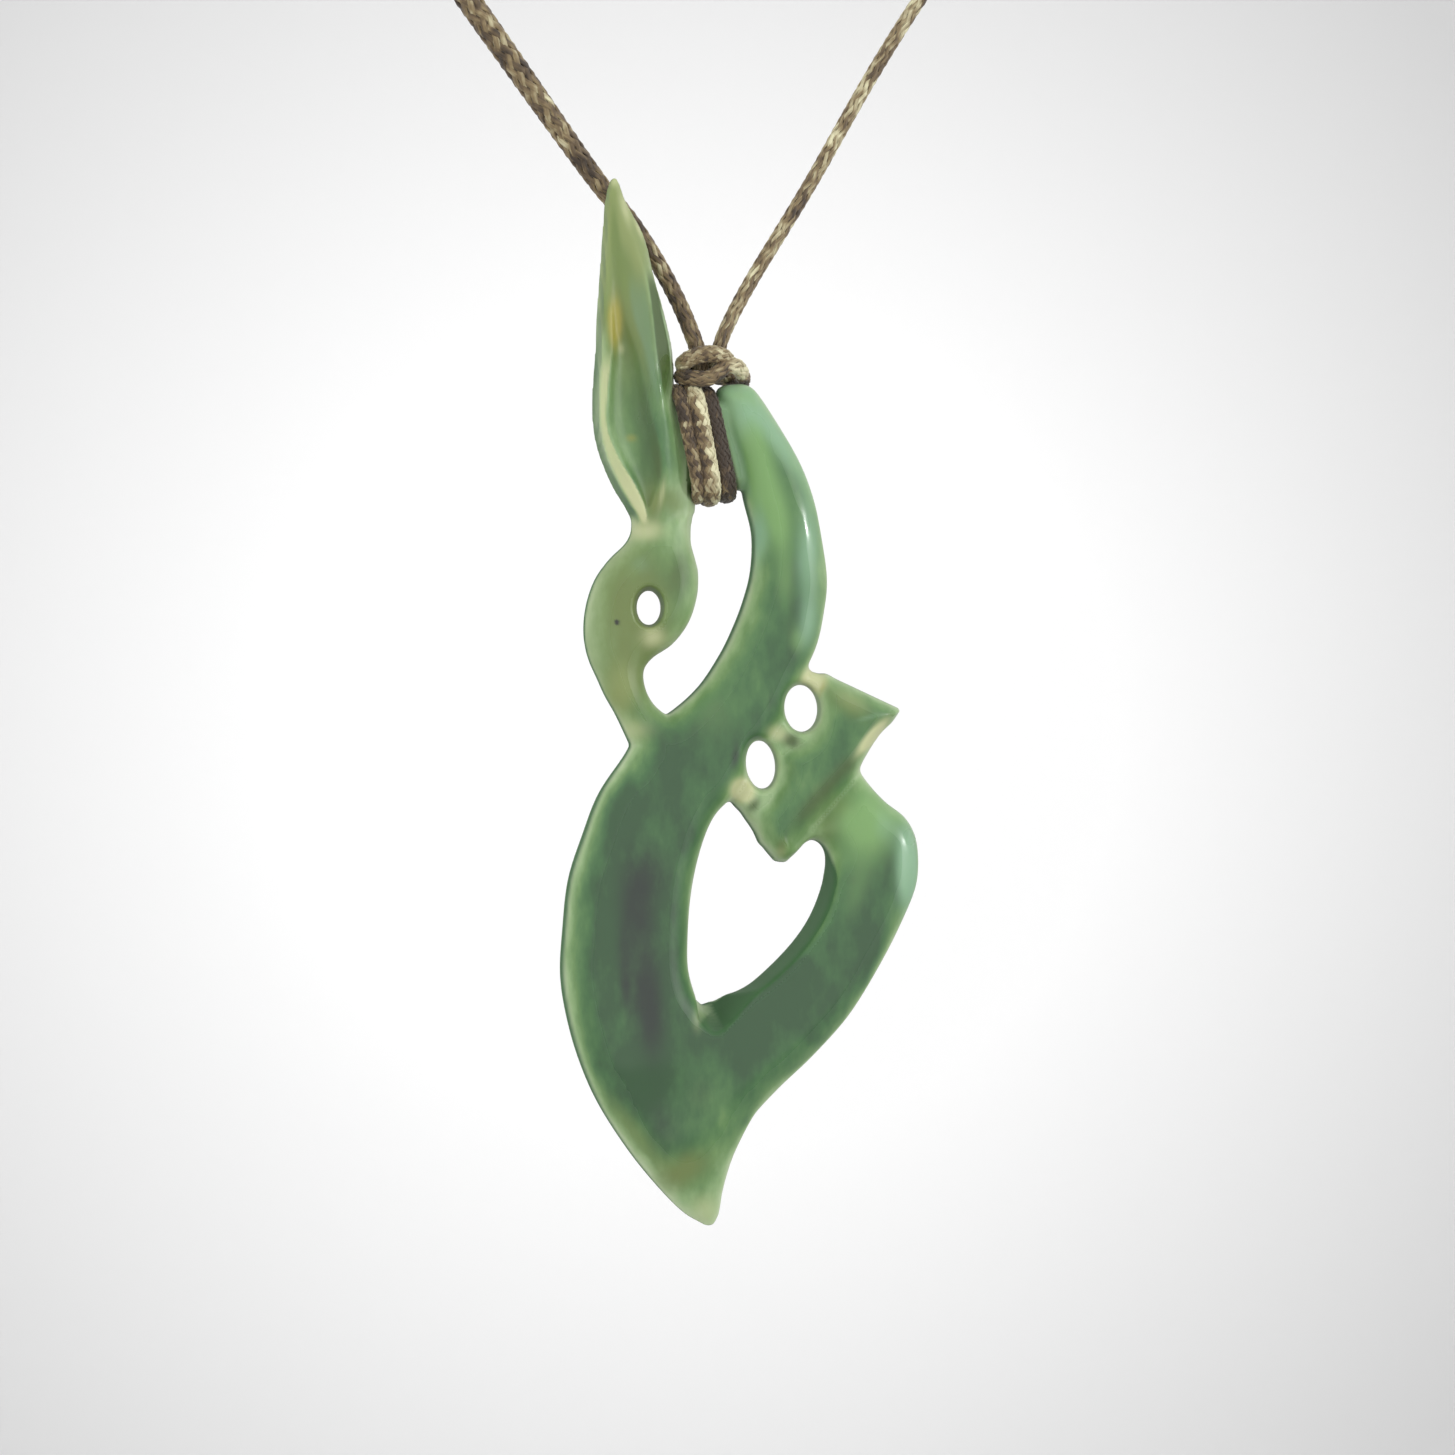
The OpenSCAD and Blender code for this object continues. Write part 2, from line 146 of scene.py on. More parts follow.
# The beak's rows: height, left edge, bevel, rim, ridge, crest, right edge, half thickness, share of the scoop
BEAK_ROWS = [
    (11.7, -6.7, -6.68, -6.65, -6.6, -6.55, -6.5, 0.3, 0.0),
    (11.3, -6.9, -6.8, -6.7, -6.5, -6.4, -6.2, 0.6, 0.0),
    (10.0, -7.2, -7.0, -6.8, -6.5, -6.2, -5.7, 0.9, 0.0),
    (7.6, -7.4, -7.2, -6.9, -6.4, -5.4, -4.4, 1.2, 0.05),
    (4.8, -7.6, -7.4, -7.0, -6.3, -4.6, -3.7, 1.5, 0.15),
    (2.0, -7.8, -7.65, -7.1, -6.0, -4.2, -2.9, 1.8, 0.45),
    (-0.5, -7.9, -7.75, -7.05, -5.2, -3.95, -2.38, 1.9, 0.9),
    (-3.3, -8.1, -7.95, -7.35, -4.6, -3.55, -2.24, 2.0, 1.0),
    (-5.7, -8.05, -7.9, -7.4, -4.0, -3.2, -1.75, 2.0, 1.0),
    (-7.7, -7.6, -7.45, -6.65, -3.55, -3.05, -1.3, 1.9, 0.9),
    (-9.7, -6.75, -6.5, -5.4, -3.65, -2.9, -0.9, 1.7, 0.7),
    (-11.1, -5.9, -5.65, -4.7, -4.15, -3.2, -0.75, 1.6, 0.4),
    (-12.1, -5.3, -5.0, -4.5, -4.1, -3.3, -1.1, 1.5, 0.0),
    (-13.1, -5.1, -4.8, -4.4, -4.0, -3.3, -1.3, 1.1, 0.0),
]

# The oval openings: middle x and z, half width, half height, tilt in degrees
HOLES = [
    (-4.1, -18.25, 0.85, 1.2, 0.0),
    (6.8, -25.25, 1.2, 1.65, -4.0),
    (3.9, -29.2, 1.05, 1.7, -7.0),
]

# The groove under the notched figure, as its two ends, and the run of the upright wall in the lower
# opening: x and z
GROOVE = [(11.4, -29.2), (6.2, -35.0)]
UPRIGHT_WALL = [(1.5, -46.2), (2.9, -45.0), (4.9, -43.5), (6.8, -41.5), (8.0, -39.6), (8.6, -37.6)]

# The foot of the V cut below that opening, x and z in the front face and then in the back one, and how far
# those faces are from the middle
FOOT_CUT = (0.12, -48.3, 0.9, -46.1)
BODY_HALF = 2.8

# The web under the lashing: left, right, top, bottom and half thickness
WEB = (-3.0, 3.2, -3.6, -10.0, 1.0)

# The lashing's turns: where each crosses the web's top and its bottom, its width and depth, how far it stands
# off the web, and how much lighter it is drawn: overall, as dye and painted shade (the third turn, beside the
# band, is painted dark as in its shadow), towards its right side, as painted light, and towards its top
TURNS = [
    (-2.1, -0.75, 1.15, 0.9, 0.58, -0.22, 0.0, 0.0),
    (-1.05, 0.15, 1.45, 1.1, 0.64, 0.04, 0.42, 0.26),
    (0.0, 1.4, 1.25, 0.9, 0.48, -0.6, 0.0, 0.0),
]

# The wraps' routes round the strands
UPPER_WRAP = [
    (-1.75, -0.5, -1.2),
    (-1.2, -1.15, -0.8),
    (-0.1, -1.4, -0.55),
    (0.9, -1.25, -0.7),
    (1.5, -0.5, -1.1),
    (1.3, 0.9, -1.2),
    (0.0, 1.2, -1.0),
    (-1.3, 0.9, -1.1),
]
LOWER_WRAP = [
    (-1.85, -0.3, -2.1),
    (-1.2, -1.15, -2.25),
    (-0.3, -1.4, -2.3),
    (0.4, -1.4, -2.0),
    (1.1, -1.25, -1.4),
    (2.0, -0.8, -1.35),
    (2.7, 0.4, -1.85),
    (2.9, 1.6, -2.3),
    (2.5, 2.5, -2.0),
    (1.5, 2.5, -1.85),
    (0.2, 1.5, -1.75),
    (-1.2, 0.9, -1.9),
]

# The knot's two wraps: route, width, depth, and how much lighter it is drawn, as dye and painted shade (the
# lower wrap is painted dark as shaded), apart from its front, painted lit on its right side
WRAPS = [(UPPER_WRAP, 1.3, 1.1, 0.08), (LOWER_WRAP, 1.2, 1.1, -0.38)]

# The neck cord's route in the shared frame, from inside the knot up the left strand, over the top and back
CORD_ROUTE = [
    (-0.4, -2.0, -139.2),
    (-0.5, -2.0, -137.6),
    (-1.15, -1.8, -135.6),
    (-1.95, -1.2, -133.5),
    (-3.2, -0.4, -130.9),
    (-5.0, 0.0, -128.1),
    (-8.0, 0.0, -124.5),
    (-16.5, 0.0, -112.9),
    (-30.0, 0.0, -94.5),
    (-44.0, 0.0, -73.5),
    (-57.0, 0.0, -52.0),
    (-66.0, 0.0, -34.0),
    (-69.0, 0.0, -20.0),
    (-62.0, 0.0, -8.0),
    (-48.0, 0.0, -1.5),
    (-32.0, 0.0, 1.3),
    (-16.0, 0.0, 1.9),
    (0.0, 0.0, 1.9),
    (16.0, 0.0, 1.9),
    (32.0, 0.0, 1.3),
    (48.0, 0.0, -1.5),
    (62.0, 0.0, -8.0),
    (69.0, 0.0, -20.0),
    (66.0, 0.0, -34.0),
    (56.0, 0.0, -53.0),
    (42.0, 0.0, -74.5),
    (28.0, 0.0, -94.5),
    (15.1, 0.0, -113.0),
    (7.7, -0.4, -125.4),
    (3.4, -1.2, -132.2),
    (1.3, -1.9, -136.0),
    (0.9, -2.0, -137.6),
    (0.85, -2.0, -139.2),
]

# The braid's strands, how light each is dyed, over and over, and the dye's colours from dark to light
BRAID_STRANDS = 16
STRAND_TONES = (0.35, 0.6, 0.42, 0.5, 0.62, 0.45, 0.38, 0.66)
CORD_RAMP = [(0.0, "33271A"), (0.3, "5F4E35"), (0.5, "7D6C4B"), (0.72, "A39978"), (1.0, "CFCAA6")]
CORD_MATERIAL = "Polyester cord, waxed and braided"

# The stone's colours: the clear green from thin edges to the thickest, the veins' tones, some of them painted
# light and shade, and the walls' painted shade
DEPTH_RAMP = [
    (0.2, "A3B58E"),
    (0.45, "84A06F"),
    (0.62, "62844F"),
    (0.75, "4B7142"),
    (0.87, "3A6138"),
    (1.0, "2E4E2F"),
]
TONES = {
    "dark_and_shade": "252F28",
    "moss_and_shade": "43582C",
    "olive": "66753E",
    "straw": "7D8A52",
    "leaf": "66793E",
    "sage": "5C7652",
    "bright": "70975A",
    "mint_and_sheen": "7CA180",
    "cream_and_light": "B4B88C",
    "ochre": "938E3C",
    "speck": "2A2E22",
}
WALL_SHADE_TONE = "40623F"

# Where the veins lie, and the spots of light and shade painted among them. All lean to the right by the
# slant for each millimetre back, as the line of sight does: middle x and z, half width, half height, tilt
# in degrees, share
SLANT = 0.21
VEINS = {
    "dark_and_shade": [
        (-4.6, -42.1, 1.5, 6.5, -7.0, 0.75),
        (-4.0, -46.5, 1.0, 2.8, -7.0, 0.5),
        (-5.7, -44.2, 0.45, 3.2, -3.0, 0.5),
        (-3.4, -36.2, 1.6, 2.4, 0.0, 0.45),
        (-4.8, -38.2, 1.1, 2.2, 0.0, 0.3),
        (-2.9, -54.7, 1.6, 2.0, 0.0, 0.4),
        (-0.4, -52.0, 1.2, 1.6, 0.0, 0.4),
        # Painted shade on the main band's side wall beside the two lower openings
        (4.6, -24.6, 0.3, 1.1, 8.0, 0.4),
        (2.1, -28.6, 0.35, 1.1, 8.0, 0.7),
    ],
    "moss_and_shade": [
        (8.1, -31.4, 0.7, 3.0, 41.0, 0.85),
        (10.3, -29.2, 0.6, 0.9, 41.0, 0.4),
        (6.1, -27.5, 0.8, 0.6, 30.0, 0.9),
        (3.4, -32.0, 0.5, 0.7, 30.0, 0.8),
        (5.4, -35.0, 0.3, 0.8, 20.0, 0.4),
        (-1.9, -15.9, 1.1, 2.2, 10.0, 0.6),
        (-5.0, -18.9, 0.6, 3.0, -12.0, 0.25),
        (-3.3, -8.6, 0.4, 2.0, -10.0, 0.4),
        (-7.3, 1.6, 0.4, 1.6, 0.0, 0.6),
    ],
    "olive": [
        (-5.6, 3.0, 2.6, 9.5, 0.0, 0.8),
        (-6.3, 9.6, 1.0, 2.6, 0.0, 0.6),
        (-5.2, -19.5, 3.4, 6.5, 0.0, 0.9),
        (-5.0, -54.8, 0.9, 4.0, -37.0, 0.5),
        (-1.4, -57.3, 2.3, 1.3, -30.0, 0.75),
        (8.9, -33.5, 1.4, 1.6, 30.0, 0.5),
        (-3.8, -10.7, 0.8, 1.4, 0.0, 0.7),
        (-2.6, -10.6, 0.7, 1.0, 0.0, 0.35),
    ],
    "straw": [
        (-6.0, 9.0, 1.6, 4.5, 0.0, 0.9),
        (-7.2, 4.5, 0.5, 2.5, 0.0, 0.5),
        (-6.1, -23.9, 1.2, 2.2, 0.0, 0.8),
        (-4.6, 6.0, 0.8, 2.5, 0.0, 0.5),
    ],
    "leaf": [
        (-6.45, 7.6, 0.3, 2.6, -3.0, 0.9),
        (-5.8, 5.0, 0.8, 2.2, -12.0, 1.0),
        (-7.2, 2.8, 0.4, 2.2, 0.0, 0.6),
        (-7.2, -18.3, 1.1, 2.4, 0.0, 0.2),
        (-6.1, -23.9, 1.2, 2.2, 0.0, 0.15),
        (10.2, -24.9, 2.0, 1.0, 30.0, 0.7),
        (10.0, -32.3, 1.5, 1.0, 30.0, 0.55),
        (5.5, -35.0, 0.7, 0.9, 0.0, 0.6),
        (-2.1, -11.0, 0.9, 1.3, 0.0, 0.6),
    ],
    "bright": [
        (2.2, -5.0, 1.5, 2.0, -30.0, 0.9),
        (3.2, -8.0, 1.6, 4.0, -18.0, 1.1),
        (5.2, -12.3, 1.2, 2.6, -10.0, 0.6),
        (5.6, -16.6, 0.9, 2.4, 0.0, 0.45),
        (6.6, -20.5, 0.8, 1.2, 0.0, 0.5),
        (0.6, -25.4, 2.6, 2.6, 0.0, 0.35),
        (11.6, -33.2, 2.4, 3.2, 20.0, 0.9),
        (10.6, -38.5, 1.0, 2.2, 20.0, 0.3),
    ],
    # Partly painted sheen: along the main band's upper and right edges, the return band's right edge and
    # across the figure
    "mint_and_sheen": [
        (1.9, -4.2, 1.3, 2.2, -20.0, 0.9),
        (5.0, -6.2, 0.9, 4.2, -34.0, 0.75),
        (4.0, -13.2, 0.8, 1.6, 0.0, 0.4),
        (12.8, -33.4, 0.9, 1.6, 0.0, 0.4),
        (7.3, -14.3, 1.0, 4.0, 0.0, 0.75),
        (7.3, -19.6, 0.8, 2.0, 8.0, 0.5),
        (14.5, -36.5, 0.9, 3.4, 0.0, 1.1),
        (-4.7, -15.3, 1.0, 0.9, 0.0, 0.3),
        (3.6, -13.4, 0.6, 3.0, 0.0, 0.5),
        (11.6, -25.9, 1.1, 0.25, -15.0, 0.4),
    ],
    "cream_and_light": [
        # The first three: painted light shining through the thin ground beside the openings
        (7.7, -23.3, 0.8, 0.95, 30.0, 1.7),
        (5.1, -27.0, 0.9, 0.7, 0.0, 0.6),
        (2.6, -31.0, 0.8, 0.75, 30.0, 2.0),
        (-5.75, 9.6, 0.4, 1.7, -12.0, 0.6),
        (-4.75, 8.1, 0.22, 1.0, -20.0, 0.7),
        (-6.6, 11.4, 0.5, 0.5, 0.0, 0.5),
        # Painted highlight on the figure's bevel along its lower right edge
        (11.9, -27.3, 0.42, 1.6, 42.0, 1.4),
        (-0.6, -46.9, 0.5, 1.1, 0.0, 0.35),
        (-4.3, -12.9, 1.6, 0.9, 0.0, 0.65),
        (-3.7, -20.4, 1.2, 0.9, 0.0, 0.6),
        (-3.1, -10.3, 0.25, 1.3, 10.0, 0.5),
        (-5.2, -26.8, 1.6, 1.0, 0.0, 0.45),
        (-0.1, -60.3, 1.3, 1.5, 0.0, 0.45),
        (5.3, -35.3, 0.5, 0.5, 0.0, 0.4),
        (-6.0, -0.3, 0.3, 0.5, 0.0, 0.5),
        (10.3, -24.6, 2.0, 0.8, 30.0, 0.3),
        (1.7, -4.0, 0.9, 1.5, -20.0, 0.35),
    ],
    "ochre": [
        (-6.45, 1.5, 0.55, 1.9, 0.0, 1.1),
        (-5.3, -6.5, 0.5, 0.35, 0.0, 0.5),
        (8.3, -23.9, 0.25, 0.8, 20.0, 0.5),
    ],
    "speck": [(-6.3, -19.3, 0.18, 0.18, 0.0, 1.5)],
}

# Where light glints off the full polish, in the same way: elsewhere on the edges it is duller
GLINTS = [
    (6.9, -12.4, 0.6, 1.1, -12.0, 1.3),
    (3.8, -5.6, 1.2, 2.6, -34.0, 0.8),
    (14.6, -34.3, 0.6, 0.7, 0.0, 1.3),
    (11.7, -32.0, 1.6, 0.8, -40.0, 0.6),
    (13.4, -25.6, 0.5, 0.5, 0.0, 0.8),
    (-3.4, -3.1, 0.5, 2.4, 14.0, 2.0),
    (-4.8, -5.0, 0.25, 0.8, 14.0, 0.7),
]

# What the camera looks at, to the right of the stone's own origin and up from it, and the backdrop's
# painted pool of light: its colours from its middle outwards
VIEW_MIDDLE = (1.5, -26.6)
PAPER_RAMP = [(0.0, "FFFFFF"), (0.4, "FFFFFF"), (1.0, "D5D5D5")]

# Settings that nodes share
PLUS = {"operation": "ADD"}
TIMES_PLUS = {"operation": "MULTIPLY_ADD"}
SOFT_STEP = {"interpolation_type": "SMOOTHSTEP"}
COLOURS = {"data_type": "RGBA"}


class StoneSettings(bpy.types.PropertyGroup):
    """Sizes and polish of the carved stone."""

    cell: FloatProperty(
        name="Grid cell",
        description="Spacing of the grid that the stone's surface is worked out on, in millimetres",
        default=0.185,
        min=0.12,
        max=0.4,
    )
    edge: FloatProperty(
        name="Edge width",
        description="How far in from an edge the bands' rounding reaches, in millimetres",
        default=2.3,
        min=0.5,
        max=3.0,
    )
    roughness: FloatProperty(
        name="Roughness",
        description="Roughness of the polished stone",
        default=0.15,
        min=0.02,
        max=0.6,
        subtype="FACTOR",
    )


class CordSettings(bpy.types.PropertyGroup):
    """Sizes of the braided cord."""

    thickness: FloatProperty(
        name="Thickness",
        description="Diameter of the neck cord, in millimetres",
        default=1.2,
        min=1.0,
        max=1.3,
    )
    lay: FloatProperty(
        name="Lay",
        description="Length in which one strand of the neck cord goes once round, in millimetres",
        default=12.0,
        min=4.0,
        max=16.0,
    )
    lashing_lay: FloatProperty(
        name="Lashing lay",
        description="The same length in the lashing and the knot, in millimetres",
        default=6.5,
        min=4.0,
        max=16.0,
    )
    sides: IntProperty(
        name="Strand sides",
        description="Number of points round one strand",
        default=5,
        min=4,
        max=12,
    )


class StageSettings(bpy.types.PropertyGroup):
    """The camera and the studio."""

    azimuth: FloatProperty(
        name="Azimuth",
        description="Angle of the camera round the pendant, in degrees",
        default=-12.0,
    )
    distance: FloatProperty(
        name="Distance",
        description="Distance of the camera from the pendant, in millimetres",
        default=300.0,
    )
    view_width: FloatProperty(
        name="View width",
        description="Width of what the camera sees at the pendant, in millimetres",
        default=101.85,
    )
    pool: FloatProperty(
        name="Pool of light",
        description="How far from the middle the backdrop turns grey, in millimetres",
        default=430.0,
        min=100.0,
    )


def linear(hex_colour):
    """An sRGB hex colour as linear red, green, blue and alpha: each share s becomes s/12.92 where it is at
    most 0.04045, and ((s+0.055)/1.055)^2.4 above."""
    shares = [int(hex_colour[i : i + 2], 16) / 255 for i in (0, 2, 4)]
    return [s / 12.92 if s <= 0.04045 else ((s + 0.055) / 1.055) ** 2.4 for s in shares] + [1.0]


def add(material, kind, settings=(), **inputs):
    """Adds one node. Settings are its attributes, and inputs are values or other nodes' sockets, each named
    by its own socket, or by i and that socket's number."""
    node = material.node_tree.nodes.new("ShaderNode" + kind)
    for name, value in dict(settings).items():
        setattr(node, name, value)
    for name, value in inputs.items():
        numbered = name[0] == "i" and name[1:].isdigit()
        socket = node.inputs[int(name[1:]) if numbered else name.replace("_", " ")]
        if isinstance(value, bpy.types.NodeSocket):
            material.node_tree.links.new(value, socket)
        else:
            socket.default_value = value
    return node


def with_stops(ramp, stops):
    """Gives a colour ramp its stops, as (place, sRGB hex), and returns its colour."""
    elements = ramp.color_ramp.elements
    for place, colour in stops[1:-1]:
        elements.new(place).color = linear(colour)
    for element, (place, colour) in ((elements[0], stops[0]), (elements[-1], stops[-1])):
        element.position = place
        element.color = linear(colour)
    return ramp.outputs["Color"]


def new_material(name):
    """A material without nodes."""
    material = bpy.data.materials.new(name)
    material.use_nodes = True
    material.node_tree.nodes.clear()
    return material


def smooth(rows, steps, closed=False):
    """A Catmull-Rom spline through the rows: from b to c, with a before and d after, at share t it is
    b + t((c-a)/2 + t((a - 5b/2 + 2c - d/2) + t(3(b-c)/2 + (d-a)/2)))."""
    b = np.asarray(rows, float)
    if closed:
        a, c, d = (np.roll(b, -k, 0) for k in (-1, 1, 2))
    else:
        padded = np.concatenate([b[:1], b, b[-1:]])
        a, b, c, d = padded[:-3], padded[1:-2], padded[2:-1], padded[3:]
    a, b, c, d = (part[:, None] for part in (a, b, c, d))
    t = (np.arange(steps) / steps)[None, :, None]
    line = b + t * ((c - a) / 2 + t * ((a - 2.5 * b + 2 * c - d / 2) + t * (1.5 * (b - c) + (d - a) / 2)))
    line = line.reshape(-1, line.shape[-1])
    return line if closed else np.concatenate([line, np.asarray(rows[-1:], float)])


def evenly(line, spacing, closed=False):
    """A line's points laid out again at equal distances near the spacing, by its running length."""
    if closed:
        line = np.concatenate([line, line[:1]])
    run = np.concatenate([[0], np.cumsum(np.linalg.norm(np.diff(line, axis=0), axis=1))])
    count = max(int(round(run[-1] / spacing)), 8)
    places = np.linspace(0, run[-1], count + 1)[: count if closed else count + 1]
    return np.stack([np.interp(places, run, line[:, k]) for k in range(3)], 1), run[-1]


def unit(vectors):
    """Vectors divided by their lengths."""
    return vectors / np.maximum(np.linalg.norm(vectors, axis=-1, keepdims=True), 1e-12)


def rise(values, low, high):
    """A smooth step from 0 at low to 1 at high: t^2 (3 - 2t)."""
    t = np.clip((values - low) / (high - low), 0, 1)
    return t * t * (3 - 2 * t)


def mesh_piece(name, points, faces, material, attributes=()):
    """A mesh object at the origin from points in millimetres, with its point attributes."""
    mesh = bpy.data.meshes.new(name)
    mesh.from_pydata((np.asarray(points) * MM).tolist(), [], faces)
    for label, values in dict(attributes).items():
        kind = "FLOAT_VECTOR" if values.ndim == 2 else "FLOAT"
        layer = mesh.attributes.new(label, kind, "POINT")
        layer.data.foreach_set("vector" if values.ndim == 2 else "value", values.astype(np.float32).ravel())
    mesh.polygons.foreach_set("use_smooth", [True] * len(mesh.polygons))
    mesh.materials.append(material)
    mesh.validate()
    piece = bpy.data.objects.new(name, mesh)
    bpy.context.scene.collection.objects.link(piece)
    return piece


def inside(points, loop):
    """Whether each point is inside a closed outline: a line from it crosses that an odd number of times."""
    x0, z0 = loop.T
    x1, z1 = np.roll(loop, -1, 0).T
    x, z = points[:, :1], points[:, 1:]
    spans = (z0 > z) != (z1 > z)
    with np.errstate(divide="ignore", invalid="ignore"):
        crossing = x < (x1 - x0) * (z - z0) / (z1 - z0) + x0
    return (spans & crossing).sum(1) % 2 == 1


def distance_to(points, starts, ends):
    """Distance from each point to the nearest straight edge of a set, for a few thousand points at a time."""
    along = ends - starts
    length = np.maximum((along**2).sum(1), 1e-12)
    best = []
    for part in np.array_split(points, max(len(points) // 3000, 1)):
        offset = part[:, None] - starts[None]
        share = np.clip((offset * along).sum(2) / length, 0, 1)
        best.append(np.sqrt(((offset - share[..., None] * along) ** 2).sum(2).min(1)))
    return np.concatenate(best)


def band_outline(rows, steps=6):
    """A band's closed outline: down its left edge and back up its right one."""
    line = smooth(rows, steps)
    return np.concatenate([line[:, 0:2], line[::-1, 2:4]])


def beak_outline(steps=6):
    """The beak's closed outline in the same way."""
    line = smooth(BEAK_ROWS, steps)
    return np.concatenate([line[:, [1, 0]], line[::-1, [6, 0]]])


def joined_distance(points, loops):
    """Distance in from the common edge of joined outlines, less than zero outside. Edges inside another
    outline are left out."""
    starts, ends = [], []
    within = np.zeros(len(points), bool)
    for loop in loops:
        after = np.roll(loop, -1, 0)
        middle = (loop + after) / 2
        hidden = np.zeros(len(loop), bool)
        for other in loops:
            if other is not loop:
                hidden |= inside(middle, other)
        starts.append(loop[~hidden])
        ends.append(after[~hidden])
        for part in np.array_split(np.arange(len(points)), 12):
            within[part] |= inside(points[part], loop)
    distance = distance_to(points, np.concatenate(starts), np.concatenate(ends))
    return np.where(within, distance, -distance)


def wall_nearness(places, reach):
    """How near each x and z is to the upright wall: exp(-(d/reach)^2)."""
    wall = np.array(UPRIGHT_WALL)
    return np.exp(-((distance_to(places, wall[:-1], wall[1:]) / reach) ** 2))


def soft_least(first, second, reach):
    """The lesser of two fields, with its crease rounded: min(a,b) - max(reach-|a-b|,0)^2/(4 reach)."""
    near = np.maximum(reach - np.abs(first - second), 0)
    return np.minimum(first, second) - near**2 / (4 * reach)


def soft_most(first, second, reach):
    """The greater of two fields, with its edge rounded in the same way."""
    return -soft_least(-first, -second, reach)


def slab(inset, y, half, edge, power):
    """A slab with rounded edges, less than zero inside: (a^p + (|y| edge/half)^p)^(1/p) - edge, where a is
    edge - inset or, where that is less, 0, with a soft step between the two."""
    outer = soft_most(edge - inset, 0.0, 1.0)
    return (outer**power + (np.abs(y) * edge / half) ** power) ** (1 / power) - edge


def skin_of(field, corner, cell):
    """The surface where a field on a grid of three parameters is zero: each cell that it passes through
    gets one point, the mean of the places where it crosses the cell's edges, and each crossed edge gets a
    face through the four cells round it."""
    cells = np.array(field.shape) - 1
    steps = np.array([cells[1] * cells[2], cells[2], 1])
    sums, counts, quads = np.zeros((3, cells.prod())), np.zeros(cells.prod()), []
    for axis in range(3):
        u, v = (axis + 1) % 3, (axis + 2) % 3
        low = np.take(field, range(field.shape[axis] - 1), axis)
        high = np.take(field, range(1, field.shape[axis]), axis)
        crossed = (low < 0) != (high < 0)
        place = np.stack(np.nonzero(crossed)).astype(float)
        home = place.astype(int).T @ steps
        place[axis] += low[crossed] / (low[crossed] - high[crossed])
        around = [home - steps[u] - steps[v], home - steps[v], home, home - steps[u]]
        for index in around:
            counts += np.bincount(index, minlength=counts.size)
            for k in range(3):
                sums[k] += np.bincount(index, weights=place[k], minlength=counts.size)
        quad = np.stack(around, 1)
        quads.append(np.where((low[crossed] < 0)[:, None], quad, quad[:, ::-1]))
    used = counts > 0
    number = np.cumsum(used) - 1
    points = (sums[:, used] / counts[used]).T * cell + corner
    return points, number[np.concatenate(quads)]


def eased(points, quads, rounds):
    """Points moved to and fro along the mean of their neighbours, which takes the grid's ripple out and
    keeps the size."""
    first = quads.ravel()
    second = np.roll(quads, -1, 1).ravel()
    size = len(points)
    count = np.bincount(first, minlength=size) + np.bincount(second, minlength=size)
    to, fro = 0.5, -0.53
    for share in [to, fro] * rounds:
        sums = [
            np.bincount(first, weights=points[second, k], minlength=size)
            + np.bincount(second, weights=points[first, k], minlength=size)
            for k in range(3)
        ]
        points = points + share * (np.stack(sums, 1) / count[:, None] - points)
    return points


def normals_of(points, quads):
    """Each point's normal: the sum of its faces' cross products of their two diagonals, made one long."""
    corners = points[quads].transpose(1, 0, 2)
    across = np.repeat(np.cross(corners[2] - corners[0], corners[3] - corners[1]), 4, axis=0)
    sums = [np.bincount(quads.ravel(), weights=across[:, k], minlength=len(points)) for k in range(3)]
    return unit(np.stack(sums, 1))


def beak_field(x, y, z):
    """The beak, less than zero inside: at each height its front and back are straight facets between named
    lines."""
    rows = smooth(BEAK_ROWS, 6)[::-1]
    columns = (np.interp(z, rows[:, 0], rows[:, k]) for k in range(1, 9))
    left, bevel, rim, ridge, crest, right, half, scoop = columns
    wide = right - left
    # Each facet's corner, from left to right: where it is, and how far it stands out
    front = [
        (left, 0 * half),
        (bevel, 0.92 * half),
        (rim, half),
        *((rim + (ridge - rim) * t, half - 3.2 * scoop * t * (1 - t)) for t in (0.2, 0.4, 0.6, 0.8)),
        (ridge, half),
        (crest, 0.95 * half),
        (right - 0.25 * (right - crest), 0.5 * half),
        (right, 0 * half),
    ]
    back = [
        (left, 0 * half),
        (left + 0.12 * wide, 0.7 * half),
        (left + 0.35 * wide, half),
        (right - 0.35 * wide, half),
        (right - 0.12 * wide, 0.7 * half),
        (right, 0 * half),
    ]

    def depth(corners):
        total = 0
        for (x0, y0), (x1, y1) in zip(corners, corners[1:]):
            total = total + (y1 - y0) * np.clip((x - x0) / np.maximum(x1 - x0, 1e-6), 0, 1)
        return total

    sides = np.maximum(left - x, x - right)
    ends = np.maximum(z - rows[-1, 0], rows[0, 0] - z)
    faces = soft_most(-y - depth(front), y - depth(back), 0.1)
    return np.maximum(np.maximum(faces, sides), ends)


def web_field(x, y, z):
    """The web under the lashing: a plate with round ends above and below."""
    left, right, top, bottom, half = WEB
    reach = np.hypot(y, z - np.clip(z, bottom + half, top - half)) - half
    return np.maximum(reach, np.maximum(left - x, x - right))


def groove_field(x, y, z):
    """The stone left beside the groove: |y| is less than the floor's half thickness, more by the distance
    aside and past the groove's ends."""
    floor, beside_slope, beyond_slope = 1.15, 0.75, 1.5
    start, end = (np.array(p) for p in GROOVE)
    run = unit(end - start)
    beside = np.abs((x - start[0]) * run[1] - (z - start[1]) * run[0])
    beyond = np.maximum(-((x - start[0]) * run[0] + (z - start[1]) * run[1]), 0)
    beyond = beyond + np.maximum((x - end[0]) * run[0] + (z - end[1]) * run[1], 0)
    return np.abs(y) - (floor + beside_slope * beside + beyond_slope * beyond)


